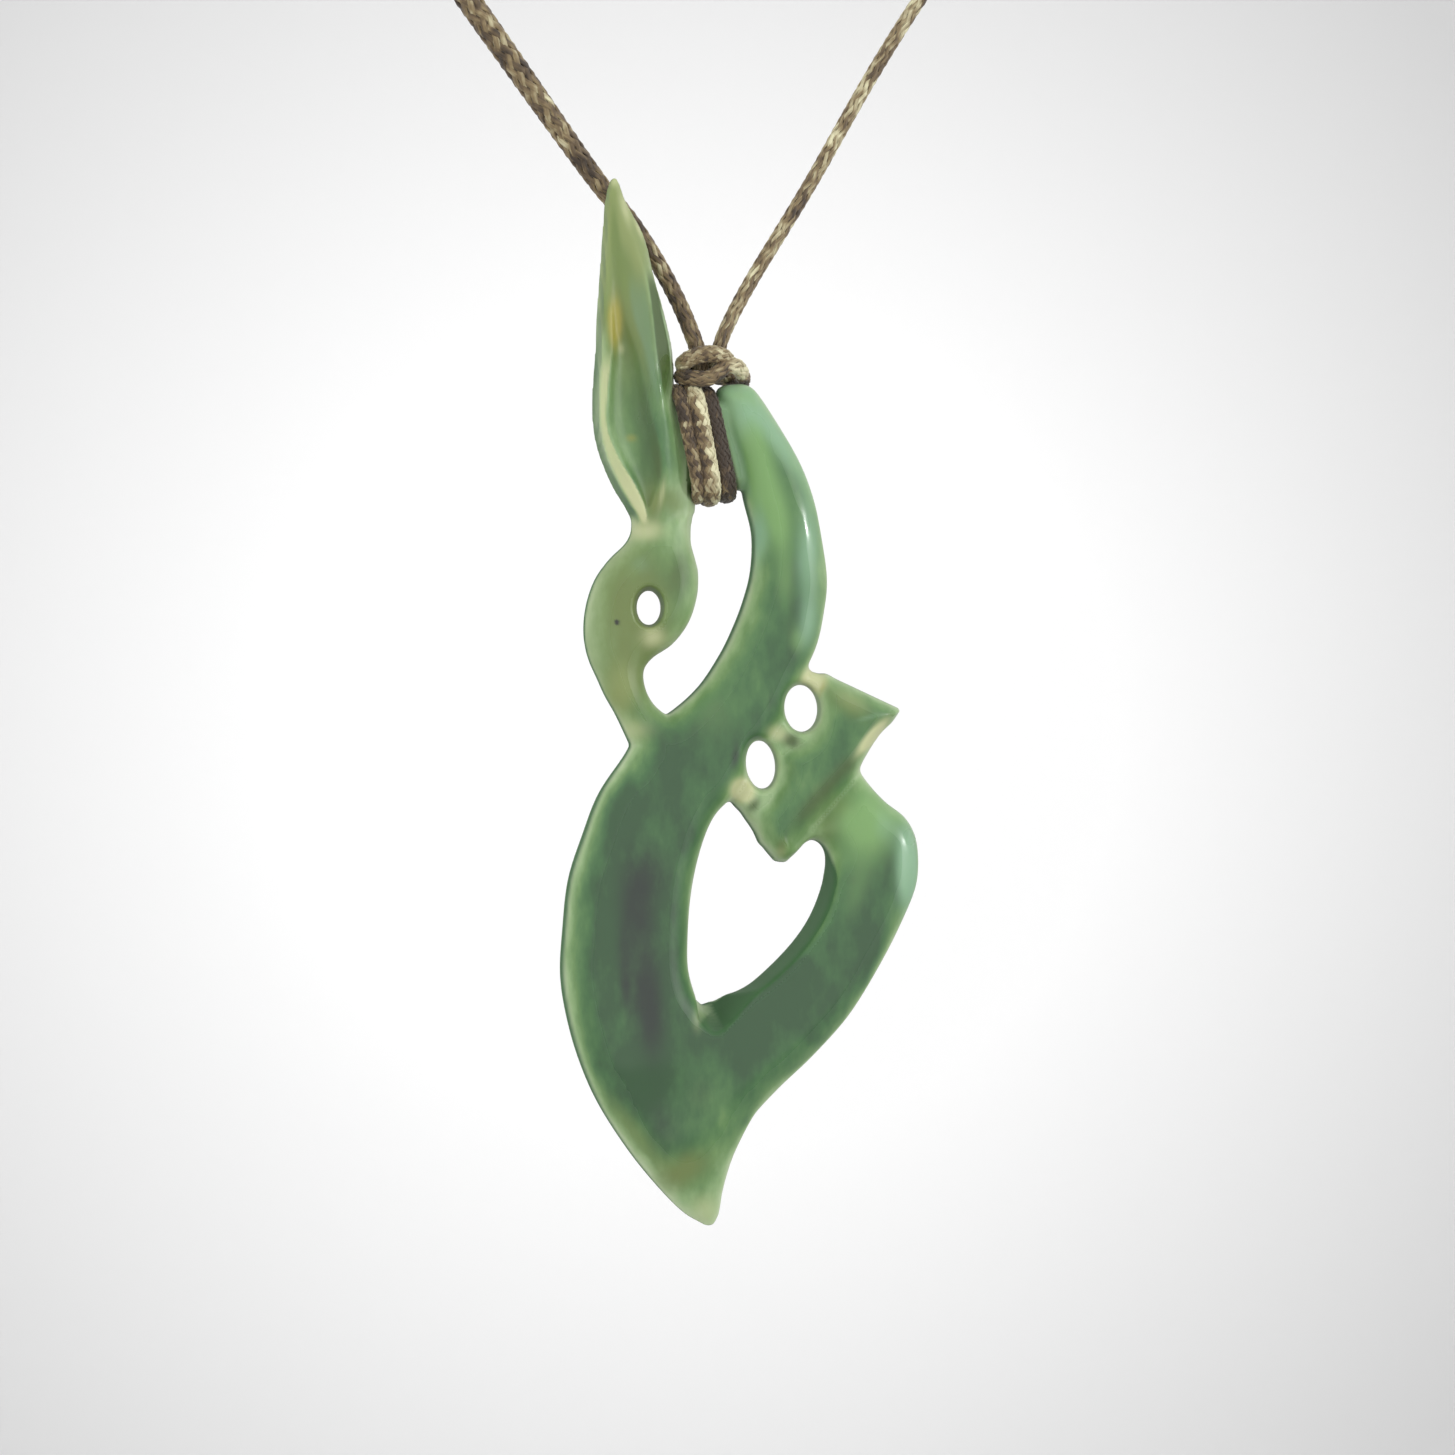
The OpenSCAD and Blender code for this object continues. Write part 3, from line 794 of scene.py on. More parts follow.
def foot_field(x, y, z):
    """The V cut, more than zero inside: its blunt foot rises from the front face to the back one, and it
    ends at a left and an upper side."""
    left_slope, right_slope, blunt, left, upper, steepness = 1.03, 1.07, 1.6, -1.0, -44.4, 1.4
    share = (y + BODY_HALF) / (2 * BODY_HALF)
    aside = x - (FOOT_CUT[0] + (FOOT_CUT[2] - FOOT_CUT[0]) * share)
    over = z - (FOOT_CUT[1] + (FOOT_CUT[3] - FOOT_CUT[1]) * share)
    flanks = soft_least(over - right_slope * aside, over + left_slope * aside, blunt)
    return np.minimum(flanks, np.minimum(x - left, upper - z)) / steepness


def hole_field(x, y, z, hole):
    """One oval opening, less than zero inside: it goes through at a slant and flares towards both faces."""
    slant, straight, flare_over, flare_by = 0.17, 0.5, 3.0, 0.7
    centre_x, centre_z, half_x, half_z, tilt = hole
    angle = math.radians(tilt)
    aside = x - slant * y - centre_x
    u = aside * math.cos(angle) - (z - centre_z) * math.sin(angle)
    v = aside * math.sin(angle) + (z - centre_z) * math.cos(angle)
    flare = flare_by * np.clip((np.abs(y) - straight) / flare_over, 0, 1)
    return (np.hypot(u / (half_x + flare), v / (half_z + flare)) - 1) * (half_x + flare)


def stone_field(x, y, z, flat, settings):
    """The whole carving, less than zero inside, and the distance in from the edge of all its outlines."""
    shape = x.shape[0], z.shape[2]

    def grid(values):
        return values.reshape(shape)[:, None, :]

    # The bands are one slab. Its half thickness is the mean of the rows near, its edge is broad and round,
    # and narrow and square at the upright wall
    bands = (MAIN_BAND, RETURN_BAND, HEAD_BAND)
    body = joined_distance(flat, [band_outline(rows) for rows in bands])
    rows = np.concatenate(bands)
    middles = (rows[:, 0:2] + rows[:, 2:4]) / 2
    felt, wall_edge, round_power, wall_power = 2.0, 0.7, 2.2, 5.2
    weight = np.exp(-((flat[:, None] - middles) ** 2).sum(2) / (2 * felt**2)) + 1e-9
    half = (weight * rows[:, 4]).sum(1) / weight.sum(1)
    upright = wall_nearness(flat, 1.4)
    edge = settings.edge + (wall_edge - settings.edge) * upright
    power = round_power + (wall_power - round_power) * upright
    field = slab(grid(body), y, grid(half), grid(edge), grid(power))

    # The parts that are joined on: half thickness, edge, its power, and the crease between each and the rest
    for rows, half, edge, power, crease in (
        (THIN_GROUND, 1.3, 0.6, 2.0, 0.6),
        (NOTCH_FIGURE, 2.1, 0.9, 1.6, 0.25),
    ):
        inset = joined_distance(flat, [band_outline(rows)])
        field = soft_least(field, slab(grid(inset), y, half, edge, power), crease)
    field = soft_least(field, beak_field(x, y, z), 0.5)
    field = soft_least(field, web_field(x, y, z), 0.15)

    # What is cut away, each with the width of its softened edge
    field = soft_most(field, groove_field(x, y, z), 0.35)
    field = soft_most(field, foot_field(x, y, z), 0.15)
    for hole in HOLES:
        field = soft_most(field, -hole_field(x, y, z, hole), 0.2)

    left, right, top, bottom = WEB[:4]
    outlines = [band_outline(rows) for rows in (*bands, NOTCH_FIGURE)]
    outlines += [beak_outline(), np.array([(left, top), (left, bottom), (right, bottom), (right, top)])]
    return field, joined_distance(flat, outlines).reshape(shape)


def sample(table, x, z, corner, cell):
    """Values of a flat grid at places between its points, each a mean of the four round it by how near they
    are."""
    i, k = (x - corner[0]) / cell, (z - corner[2]) / cell
    i0 = np.clip(i.astype(int), 0, table.shape[0] - 2)
    k0 = np.clip(k.astype(int), 0, table.shape[1] - 2)
    a, b = i - i0, k - k0
    low = table[i0, k0] * (1 - a) + table[i0 + 1, k0] * a
    high = table[i0, k0 + 1] * (1 - a) + table[i0 + 1, k0 + 1] * a
    return low * (1 - b) + high * b


def vein(points, spots):
    """Soft oval marks that lie along the direction of view: with u = x - y SLANT, each is
    share exp(-(a/wide)^2 - (b/high)^2) in its own turned axes a and b, and they add up."""
    total = np.zeros(len(points))
    for x, z, wide, high, tilt, share in spots:
        angle = math.radians(tilt)
        u, v = points[:, 0] - SLANT * points[:, 1] - x, points[:, 2] - z
        a = u * math.cos(angle) - v * math.sin(angle)
        b = u * math.sin(angle) + v * math.cos(angle)
        total += share * np.exp(-((a / wide) ** 2) - (b / high) ** 2)
    return total


def beak_marks(points):
    """The shares of the beak's facets: its rim strip, painted pale as lit, its scoop, its flank, painted dark
    as shade, the painted highlight along that flank's edge, its outer bevel, and the grey plane between its
    ridge and its crest."""
    rows = smooth(BEAK_ROWS, 6)[::-1]
    bevel, rim, ridge, crest, right = (np.interp(points[:, 2], rows[:, 0], rows[:, k]) for k in range(2, 7))
    x, y, z = points.T
    front = rise(-y, 0.3, 0.8)
    edge = rise(x, right - 0.5, right - 0.3) * rise(z, -3.2, -1.0) * rise(-z, -3.5, -1.5) * (x < 0)
    lit_strip = rise(x, bevel - 0.05, bevel + 0.2) * rise(-x, -rim - 0.08, -rim + 0.1)
    lit_strip = lit_strip * rise(z, -12.6, -11.9) * rise(-z, -0.4, 2.4)
    scoop = rise(x, rim - 0.1, rim + 0.15) * rise(-x, -ridge - 0.1, -ridge + 0.1)
    scoop = scoop * rise(z, -12.3, -10.5) * rise(-z, -1.5, 4.0)
    shaded_flank = rise(x, crest - 0.05, crest + 0.25) * rise(z, -7.0, -2.0) * rise(-z, -6.5, -3.5) * (x < 0)
    outer = rise(-x, -bevel - 0.1, -bevel + 0.1) * rise(z, -12.3, -11.5) * rise(-z, -2.0, 1.0) * (y < 0.8)
    plane = rise(x, ridge + 0.1, ridge + 0.7) * rise(-x, -crest - 0.1, -crest + 0.3)
    plane = plane * rise(z, -7.0, -2.0) * rise(-z, -6.5, -3.0)
    return lit_strip * front, scoop * front, shaded_flank * front * (1 - edge), edge * front, outer, plane * front


def stone_marks(points, facing, half, within):
    """The shares of the stone's tones at each point, painted light and shade among them, how deep it is, and
    how much it is a wall, painted in shade, and how dull. Facing is how squarely it looks to the front or the
    back, half is half the stone's thickness there, and within is how far the point is from an edge."""
    x, y, z = points.T
    marks = {name: vein(points, VEINS.get(name, ())) for name in TONES}
    # Painted light and shade on the beak: rim strip and flank edge pale as lit, the flank dark as shade, most
    # near the cord at its top, and the scoop's right part darker as shade
    lit_strip, scoop, shaded_flank, edge, outer, plane = beak_marks(points)
    above = rise(z, -5, 0)
    marks["cream_and_light"] += 0.75 * lit_strip + 0.45 * edge
    marks["mint_and_sheen"] += 0.8 * edge + 0.25 * plane
    marks["olive"] *= 1 - 0.9 * shaded_flank - 0.3 * scoop
    marks["sage"] += 0.85 * outer + 0.5 * plane
    marks["moss_and_shade"] += 0.4 * scoop * rise(x, -6.2, -4.6) + (0.55 + 0.35 * above) * shaded_flank
    marks["dark_and_shade"] += (0.05 + 0.5 * above) * shaded_flank

    # The web lies back under the lashing: it is painted dark beside the lashing as shade, and clear green
    # where it meets the band, painted lighter there as well
    web = rise(y, -1.6, -1.1) * (x > -1.6) * rise(-x, -3.6, -3.0) * rise(z, -11, -10) * rise(-z, 2.6, 3.4)
    by_band = rise(x + 0.27 * z, -0.6, -0.2)
    for name in marks:
        marks[name] *= 1 - web
    for name, share, place in (
        ("bright", 0.8, by_band),
        ("mint_and_sheen", 0.5, by_band),
        ("moss_and_shade", 0.9, 1 - by_band),
        ("dark_and_shade", 0.6, 1 - by_band),
    ):
        marks[name] += share * web * place

    # Walls are painted darker as shade, less so in the small openings and the head. The upright one has a
    # painted highlight at its far edge, and the V cut's right flank is painted dark as shade too
    upright = wall_nearness(points[:, [0, 2]], 1.2)
    apart = (points[:, None, [0, 2]] - np.array(HOLES)[:, :2]).transpose(2, 0, 1)
    by_hole = np.exp(-((np.hypot(*apart).min(1) / 2.2) ** 4))
    wall = rise(-facing, -0.35 - 0.4 * upright, -0.05 - 0.35 * upright)
    wall = wall * (1 - 0.7 * by_hole - 0.6 * rise(z, -12, -10) * (x < -1))
    foot_shade = rise(0.735 * (x - SLANT * y) - z, 46.7, 46.9) * rise(-facing, -0.985, -0.95)
    foot_shade = foot_shade * (np.hypot(x - 0.3, z + 47.0) < 1.6) * (y < 2.5)
    far_edge_highlight = upright * rise(y, 1.9, 2.4)
    marks["wall"] = np.maximum(wall * (1 - far_edge_highlight), 0.65 * foot_shade)
    marks["mint_and_sheen"] += 0.7 * far_edge_highlight

    marks["depth"] = 0.3 * half + 0.2 - 0.18 * np.exp(-np.maximum(within, 0) / 0.8)
    dull = np.clip(rise(-facing, -0.9995, -0.95) + (z > -14) * (x < 0), 0, 1)
    marks["dull"] = dull * (1 - np.clip(vein(points, GLINTS), 0, 1))
    return marks


def nephrite():
    """Nephrite, carved and polished: a deep green that pales where it is thin, clouded inside, under a
    clear wet gloss."""
    material = new_material("Nephrite, carved and polished")
    marks = {
        name: add(material, "Attribute", {"attribute_name": name}).outputs["Fac"]
        for name in (*TONES, "depth", "wall", "dull")
    }

    # Clouds a few millimetres across and finer wisps, drawn out up and down as the stone's fibres lie: how
    # many go to a millimetre, their detail and roughness, and the colour's whole swing
    clouds = ((0.3, 4.0, 0.55, 0.9), (1.3, 3.0, 0.6, 0.2))
    place = add(material, "TexCoord").outputs["Object"]
    lie = add(material, "Mapping", Vector=place, Scale=(1.0, 1.0, 0.5)).outputs["Vector"]
    drift = -sum(swing for *_, swing in clouds) / 2
    for number, detail, rough, swing in clouds:
        cloud = add(material, "TexNoise", Vector=lie, Scale=number / MM, Detail=detail, Roughness=rough)
        drift = add(material, "Math", TIMES_PLUS, i0=cloud.outputs["Fac"], i1=swing, i2=drift).outputs[0]

    # The green by depth, and over it the veins and the painted light and shade, whose edges the clouds break
    # up
    deep = add(material, "Math", PLUS, i0=marks["depth"], i1=drift).outputs[0]
    colour = with_stops(add(material, "ValToRGB", Fac=deep), DEPTH_RAMP)
    for name, tone in TONES.items():
        broken = add(material, "Math", TIMES_PLUS, i0=drift, i1=marks[name], i2=marks[name]).outputs[0]
        share = add(material, "MapRange", SOFT_STEP, Value=broken, From_Min=0.05, From_Max=0.95).outputs[0]
        colour = add(material, "Mix", COLOURS, i0=share, i6=colour, i7=linear(tone)).outputs[2]

    # The walls, seen edge on, are painted a darker green as shade, and they and the inner corners are less
    # polished
    most_shine, least_shine, most_rough = 0.5, 0.04, 0.5
    colour = add(material, "Mix", COLOURS, i0=marks["wall"], i6=colour, i7=linear(WALL_SHADE_TONE)).outputs[2]
    fall = least_shine - most_shine
    shine = add(material, "Math", TIMES_PLUS, i0=marks["wall"], i1=fall, i2=most_shine).outputs[0]
    gloss = bpy.context.scene.pendant_stone.roughness
    rough = add(material, "MapRange", Value=marks["dull"], To_Min=gloss, To_Max=most_rough).outputs[0]
    shader = add(
        material,
        "BsdfPrincipled",
        Base_Color=colour,
        Specular_IOR_Level=shine,
        Roughness=rough,
        IOR=1.61,
        Subsurface_Weight=0.3,
        Subsurface_Radius=(0.8, 1.0, 0.55),
        Subsurface_Scale=1.2 * MM,
    )
    add(material, "OutputMaterial", Surface=shader.outputs["BSDF"])
    return material


def waxed_cord():
    """Polyester cord, waxed and braided: brown, tan and cream strands with a dull shine, each a bundle of
    fine fibres."""
    material = new_material(CORD_MATERIAL)
    level = add(material, "Attribute", {"attribute_name": "tone"}).outputs["Fac"]
    weave = add(material, "Attribute", {"attribute_name": "weave"}).outputs["Vector"]
    place = add(material, "TexCoord").outputs["Object"]

    # Fibres are drawn about 0.1 mm wide, coarser than real, so that they show. Streaks of dye are about 2 mm
    # long on one strand, and blotches as long go across the strands
    fine = add(material, "Mapping", Vector=weave, Scale=(0.9, 3.2, 3.2)).outputs["Vector"]
    long = add(material, "Mapping", Vector=weave, Scale=(0.45, 0.5, 0.5)).outputs["Vector"]
    fibre = add(material, "TexNoise", Vector=fine, Scale=1.0, Detail=3.0, Roughness=0.6).outputs[0]
    streak = add(material, "TexNoise", Vector=long, Scale=1.0, Detail=2.0, Roughness=0.5).outputs[0]
    blotch = add(material, "TexNoise", Vector=place, Scale=0.65 / MM, Detail=2.0, Roughness=0.5).outputs[0]
    for noise, swing in ((fibre, 0.5), (streak, 1.3), (blotch, 1.5)):
        swung = add(material, "Math", TIMES_PLUS, i0=noise, i1=swing, i2=-swing / 2).outputs[0]
        level = add(material, "Math", PLUS, i0=level, i1=swung).outputs[0]
    shader = add(
        material,
        "BsdfPrincipled",
        Base_Color=with_stops(add(material, "ValToRGB", Fac=level), CORD_RAMP),
        Roughness=add(material, "MapRange", Value=fibre, To_Min=0.42, To_Max=0.62).outputs[0],
        Normal=add(material, "Bump", Height=fibre, Strength=0.5, Distance=0.06 * MM).outputs[0],
        Sheen_Weight=0.15,
    )
    add(material, "OutputMaterial", Surface=shader.outputs["BSDF"])
    return material


def graded_paper(middle, pool):
    """Paper, matt, graded from white in the middle to a pale grey at the pool's edge, so that the pendant
    stands in a soft pool of light."""
    material = new_material("Paper, matt, graded from white to grey")
    spread = 1 / (pool * MM)
    shift = (-middle[0] * MM * spread, 0.0, -middle[2] * MM * spread)
    stretch = (spread, 0.0, spread)
    place = add(material, "TexCoord").outputs["Object"]
    apart = add(material, "Mapping", Vector=place, Location=shift, Scale=stretch).outputs["Vector"]
    away = add(material, "VectorMath", {"operation": "LENGTH"}, i0=apart).outputs["Value"]
    colour = with_stops(add(material, "ValToRGB", Fac=away), PAPER_RAMP)
    shader = add(material, "BsdfPrincipled", Base_Color=colour, Roughness=0.9)
    add(material, "OutputMaterial", Surface=shader.outputs["BSDF"])
    return material


def braid(
    name, line, side, wide, deep, lay, material, closed=False, spacing=0.4, swell=None, shade=None, lit=0.0
):
    """A braid of sixteen strands along a line. Eight wind one way and eight the other, at angles k pi/4 + w
    and k pi/4 - w, where w is 2 pi times the length over the lay. The first eight are r + a cos 8w from the
    middle and the others r - a cos 8w, so that they pass over and under by turns. Swell gives the width's
    share at each place of the line, shade how much lighter it is drawn there, as dye and painted light and
    shade, and lit how much lighter it is painted towards one side, as painted light falling from there."""
    sides = bpy.context.scene.pendant_cord.sides
    points, length = evenly(line, spacing, closed)
    count = len(points)
    thick = np.ones((count, 1)) if swell is None else swell(points)[:, None]
    before, after = np.roll(points, 1, 0), np.roll(points, -1, 0)
    if not closed:
        before[0], after[-1] = points[0], points[-1]
    along = unit(after - before)
    out = unit(np.cross(along, side))
    flat = np.cross(out, along)
    rounds = max(round(length / lay), 1)
    turn = 2 * math.pi * rounds * np.arange(count) / (count if closed else count - 1)
    each_way = BRAID_STRANDS // 2
    ways = np.array([1, -1] * each_way)[:, None]
    starts = (np.arange(BRAID_STRANDS) // 2)[:, None] * 2 * math.pi / each_way
    angle = ways * turn + starts
    # Shares of the cord's half width: a strand's half thickness, its distance from the middle and the swing
    # of that add up to 1, and its half width lets neighbours touch
    strand, mean, swing, breadth = 0.15, 0.78, 0.07, 0.31
    away = mean + ways * swing * np.cos(each_way * turn)
    spread = np.cos(angle)[..., None] * out * thick * deep / 2
    spread = spread + np.sin(angle)[..., None] * flat * thick * wide / 2
    centres = points + away[..., None] * spread
    lead = unit(np.gradient(centres, axis=1))
    beside = unit(np.cross(lead, unit(spread)))
    radial = np.cross(beside, lead)
    swirl = 2 * math.pi * (np.arange(sides) + 0.5) / sides
    taper = np.ones(count)
    if not closed:
        taper[[0, -1]] = 0.5
    reach = (taper[:, None] * thick)[None, ..., None]
    ring = (
        centres[:, :, None]
        + reach * (strand * np.cos(swirl) * deep / 2)[None, None, :, None] * radial[:, :, None]
        + reach * (breadth * np.sin(swirl) * wide / 2)[None, None, :, None] * beside[:, :, None]
    )
    index = np.arange(BRAID_STRANDS * count * sides).reshape(BRAID_STRANDS, count, sides)
    here = index if closed else index[:, :-1]
    above = np.roll(index, -1, 1) if closed else index[:, 1:]
    quads = np.stack([here, above, np.roll(above, -1, 2), np.roll(here, -1, 2)], -1).reshape(-1, 4).tolist()
    if not closed:
        quads += [list(cap) for cap in index[:, 0]] + [list(cap[::-1]) for cap in index[:, -1]]
    # Each strand's own place in the weave: its running length, with strands set apart, and its two ways round
    set_apart = 31.7 * np.arange(BRAID_STRANDS)[:, None, None]
    run = (np.arange(count) * length / count)[None, :, None] + set_apart
    weave = np.stack([np.broadcast_to(part, index.shape) for part in (run, np.cos(swirl), np.sin(swirl))], -1)
    # Each strand's dye, with painted light towards the lit side and the painted shade given
    tone = np.resize(STRAND_TONES, BRAID_STRANDS)[:, None] + lit * np.sin(angle)
    if shade is not None:
        tone = tone + shade(points)
    tone = np.broadcast_to(tone[..., None], index.shape)
    attributes = {"weave": weave.reshape(-1, 3), "tone": tone.reshape(-1)}
    return mesh_piece(name, ring.reshape(-1, 3), quads, material, attributes)


def strand_swell(places):
    """The neck cord's left strand is thicker than its right one, and grows thicker still away from the
    knot."""
    x, z = places[:, 0], places[:, 2]
    near = rise(-z, 70, 100)
    left = rise(-x, -1, 1)
    return 1 + near * left * (0.02 + 0.5 * rise(z, -134, -112)) - 0.12 * near * (1 - left)


def strand_shade(places):
    """The neck cord's left strand is a little darker than its right one."""
    return -0.2 + 0.24 * rise(places[:, 0], -2, 2)


def turn_shade(places, level, up):
    """A lashing turn has its own level of dye and painted shade, and is lighter towards its top."""
    return level + up * rise(places[:, 2], -145.5, -141.5)


def wrap_shade(places, level):
    """A wrap of the knot has its own level of dye and painted shade, and a painted highlight in front
    on its right side, where the light falls.
    """
    return level + (0.36 - level) * rise(places[:, 0], 0.2, 1.7) * rise(-places[:, 1], 1.2, 2.2)


def finished(piece, node):
    """Puts a finished piece in a node's place."""
    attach(piece, "root")
    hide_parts(node)


class PENDANT_OT_stage(bpy.types.Operator):
    """Makes the camera, the pale floor and the soft lights."""

    bl_idname = "pendant.stage"
    bl_label = "Stage"

    def execute(self, context):
        settings = context.scene.pendant_stage
        angle = math.radians(settings.azimuth)
        right = np.array([math.cos(angle), math.sin(angle), 0.0])
        ahead = np.array([-math.sin(angle), math.cos(angle), 0.0])
        target = STONE_PLACE + VIEW_MIDDLE[0] * right + np.array([0.0, 0.0, VIEW_MIDDLE[1]])
        camera = bpy.data.objects.new("camera", bpy.data.cameras.new("camera"))
        camera.location = (target - settings.distance * ahead) * MM
        camera.rotation_euler = (math.pi / 2, 0.0, angle)
        camera.data.lens = camera.data.sensor_width * settings.distance / settings.view_width
        camera.data.clip_start = 0.01
        context.scene.collection.objects.link(camera)
        context.scene.camera = camera
        context.scene.view_settings.view_transform = "Standard"

        world = bpy.data.worlds.new("studio air")
        context.scene.world = world
        world.use_nodes = True
        world.node_tree.nodes["Background"].inputs["Color"].default_value = (1.0, 1.0, 1.0, 1.0)
        world.node_tree.nodes["Background"].inputs["Strength"].default_value = 1.0

        # The sheet of paper lies in front, bends up in a quarter circle and stands behind
        before, behind, beside, floor, tall, curve = 1500.0, 1400.0, 2500.0, -600.0, 1800.0, 140.0
        paper = graded_paper(target + behind * ahead, settings.pool)
        bend = np.linspace(-math.pi / 2, 0, 13)
        profile = [(-before, floor)]
        profile += [(behind - curve + curve * math.cos(a), floor + curve + curve * math.sin(a)) for a in bend]
        profile += [(behind, tall)]
        points = [(side * beside, y, z) for side in (-1, 1) for y, z in profile]
        count = len(profile)
        faces = [[k, k + count, k + count + 1, k + 1] for k in range(count - 1)]
        sheet = mesh_piece("paper_sheet", points, faces, paper)

        # The broad lights leave no reflection, so that only the small one glints on the stone's polish.
        # Each has its place from the target, where it looks from, its size in metres, its power and whether
        # it glints
        for name, place, aim, size, power, glossy in (
            ("glint", (312.0, -233.0, 67.0), (312.0, -233.0, 67.0), 0.03, 0.38, True),
            ("window", (270.0, -300.0, 260.0), (270.0, -300.0, 260.0), 0.45, 0.5, False),
            ("fill", (-380.0, -200.0, 60.0), (-380.0, -200.0, 60.0), 0.7, 1.2, False),
            ("backdrop", tuple(500.0 * ahead), tuple(-ahead), 0.5, 1.0, False),
        ):
            light = bpy.data.objects.new(name, bpy.data.lights.new(name, "AREA"))
            light.data.size = size
            light.data.energy = power
            light.location = Vector(((target + place) * MM).tolist())
            light.rotation_euler = Vector(aim).to_track_quat("Z", "Y").to_euler()
            light.visible_camera = False
            light.visible_glossy = glossy
            context.scene.collection.objects.link(light)

        return {"FINISHED"}


class PENDANT_OT_neck_cord(bpy.types.Operator):
    """Makes the braided neck cord and the sliding knot at its top."""

    bl_idname = "pendant.neck_cord"
    bl_label = "Neck Cord"

    def execute(self, context):
        settings = context.scene.pendant_cord
        material = waxed_cord()
        line = smooth(CORD_ROUTE, steps=8)
        wide, lay = settings.thickness, settings.lay
        cord = braid(
            "neck_cord", line, (0, 1, 0), wide, wide, lay, material, swell=strand_swell, shade=strand_shade
        )
        finished(cord, "cord")

        # A close winding: a helix of the same kind of cord, a little thinner, round the way through the knot
        low, high = (np.array(corner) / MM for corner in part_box("slide_knot"))
        thick, pitch = 1.0, 1.06
        radius = (high[2] - low[2]) / 2 - thick / 2
        turns = int((high[0] - low[0] - thick) / pitch)
        points_a_turn = 40
        angle = np.linspace(0, 2 * math.pi * turns, turns * points_a_turn)
        across = np.linspace(low[0] + thick / 2, high[0] - thick / 2, len(angle))
        middle = (low[2] + high[2]) / 2
        helix = np.stack([across, radius * np.cos(angle), middle + radius * np.sin(angle)], 1)
        winding = braid("slide_winding", helix, (1, 0, 0), thick, thick, settings.lashing_lay, material)
        finished(winding, "slide_knot")

        return {"FINISHED"}


class PENDANT_OT_lashing(bpy.types.Operator):
    """Makes the three turns round the web and the knot's two wraps."""

    bl_idname = "pendant.lashing"
    bl_label = "Lashing"

    def execute(self, context):
        settings = context.scene.pendant_cord
        material = bpy.data.materials[CORD_MATERIAL]
        ring = {"material": material, "lay": settings.lashing_lay, "closed": True, "spacing": 0.2}
        top, bottom, half = WEB[2:5]
        bend = np.linspace(0, math.pi, 17)
        for number, (over, under, wide, deep, off, level, lit, up) in enumerate(TURNS, 1):
            reach = half + off
            angle = np.concatenate([bend, bend + math.pi])
            z = np.repeat([top + off - reach, bottom - off + reach], len(bend)) + reach * np.sin(angle)
            y = reach * np.cos(angle)
            x = over + (z - top) * (over - under) / (top - bottom)
            route = np.stack([x, y, z], 1) + STONE_PLACE
            lean = unit(np.array([top - bottom, 0.0, under - over]))
            # A turn's level is its dye with painted shade in it, and lit paints light on its right side
            shade = partial(turn_shade, level=level, up=up)
            turn = braid(f"lashing_strand_{number}", route, lean, wide, deep, shade=shade, lit=lit, **ring)
            finished(turn, f"lashing_turn_{number}")

        for number, (rows, wide, deep, level) in enumerate(WRAPS, 1):
            route = smooth(rows, steps=12, closed=True) + STONE_PLACE
            # A wrap's level is its dye with painted shade in it; its front is painted lit on the right
            shade = partial(wrap_shade, level=level)
            wrap = braid(f"knot_strand_{number}", route, (0, 0, 1), wide, deep, shade=shade, **ring)
            finished(wrap, f"knot_wrap_{number}")
        return {"FINISHED"}


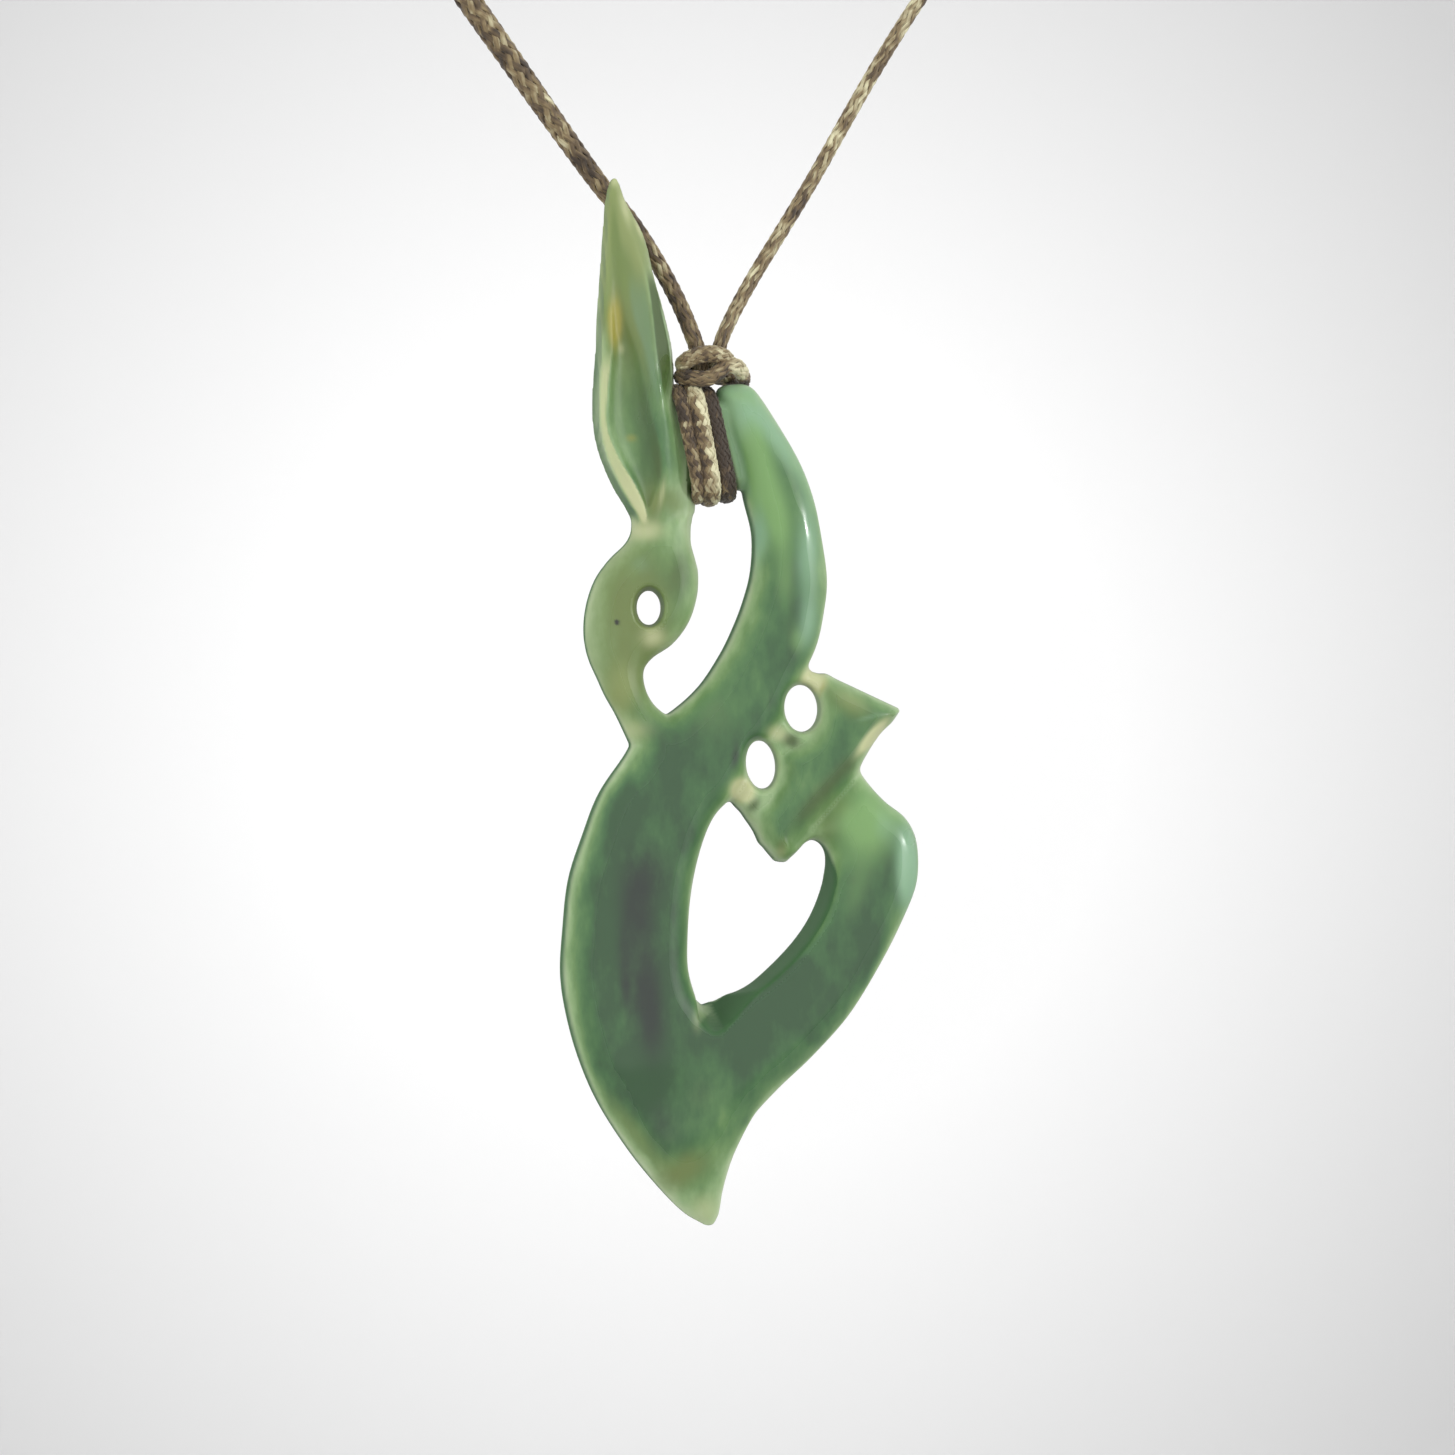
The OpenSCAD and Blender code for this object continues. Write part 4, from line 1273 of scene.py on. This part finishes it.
class PENDANT_OT_stone(bpy.types.Operator):
    """Makes the carved stone from its field of bands, figure, beak, web, groove and openings."""

    bl_idname = "pendant.stone"
    bl_label = "Carved Stone"

    def execute(self, context):
        settings = context.scene.pendant_stone
        cell = settings.cell * 1
        low, high = (np.array(corner) / MM - STONE_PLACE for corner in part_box("pendant"))
        margin = 3 * cell
        corner = low - margin
        axes = [np.arange(corner[k], high[k] + margin, cell) for k in range(3)]
        x, y, z = np.meshgrid(*axes, indexing="ij", sparse=True)
        flat = np.stack(np.meshgrid(axes[0], axes[2], indexing="ij"), -1).reshape(-1, 2)
        field, inset = stone_field(x, y, z, flat, settings)
        points, quads = skin_of(field, corner, cell)
        points = eased(points, quads, rounds=7)

        # Half thickness of the stone at each place, from how much of the column there is stone
        column = (np.clip(0.5 - field / cell, 0, 1).sum(1) * cell) / 2
        half = sample(column, points[:, 0], points[:, 2], corner, cell)
        within = sample(inset, points[:, 0], points[:, 2], corner, cell)
        facing = np.abs(normals_of(points, quads)[:, 1])
        marks = stone_marks(points, facing, half, within)
        stone = mesh_piece("carved_stone", points + STONE_PLACE, quads.tolist(), nephrite(), marks)
        finished(stone, "pendant")
        return {"FINISHED"}


class PENDANT_PT_panel(bpy.types.Panel):
    """Lists the operators that build the pendant."""

    bl_idname = "PENDANT_PT_panel"
    bl_label = "Pendant"
    bl_space_type = "VIEW_3D"
    bl_region_type = "UI"
    bl_category = "Pendant"

    def draw(self, context):
        for settings in ("pendant_stage", "pendant_cord", "pendant_stone"):
            group = getattr(context.scene, settings)
            for name in group.__annotations__:
                self.layout.prop(group, name)
        for operator in ("stage", "neck_cord", "lashing", "stone"):
            self.layout.operator(f"pendant.{operator}")


GROUPS = {"pendant_stone": StoneSettings, "pendant_cord": CordSettings, "pendant_stage": StageSettings}
CLASSES = (PENDANT_OT_stage, PENDANT_OT_neck_cord, PENDANT_OT_lashing, PENDANT_OT_stone, PENDANT_PT_panel)


def register():
    """Registers the settings, the operators and the panel."""
    for name, group in GROUPS.items():
        bpy.utils.register_class(group)
        setattr(bpy.types.Scene, name, PointerProperty(type=group))
    for cls in CLASSES:
        bpy.utils.register_class(cls)


def unregister():
    """Takes them away again."""
    for cls in reversed(CLASSES):
        bpy.utils.unregister_class(cls)
    for name, group in GROUPS.items():
        delattr(bpy.types.Scene, name)
        bpy.utils.unregister_class(group)


def main():
    """Builds everything in order."""
    register()
    bpy.ops.pendant.stage()
    bpy.ops.pendant.neck_cord()
    bpy.ops.pendant.lashing()
    bpy.ops.pendant.stone()


if __name__ == "__main__":
    main()
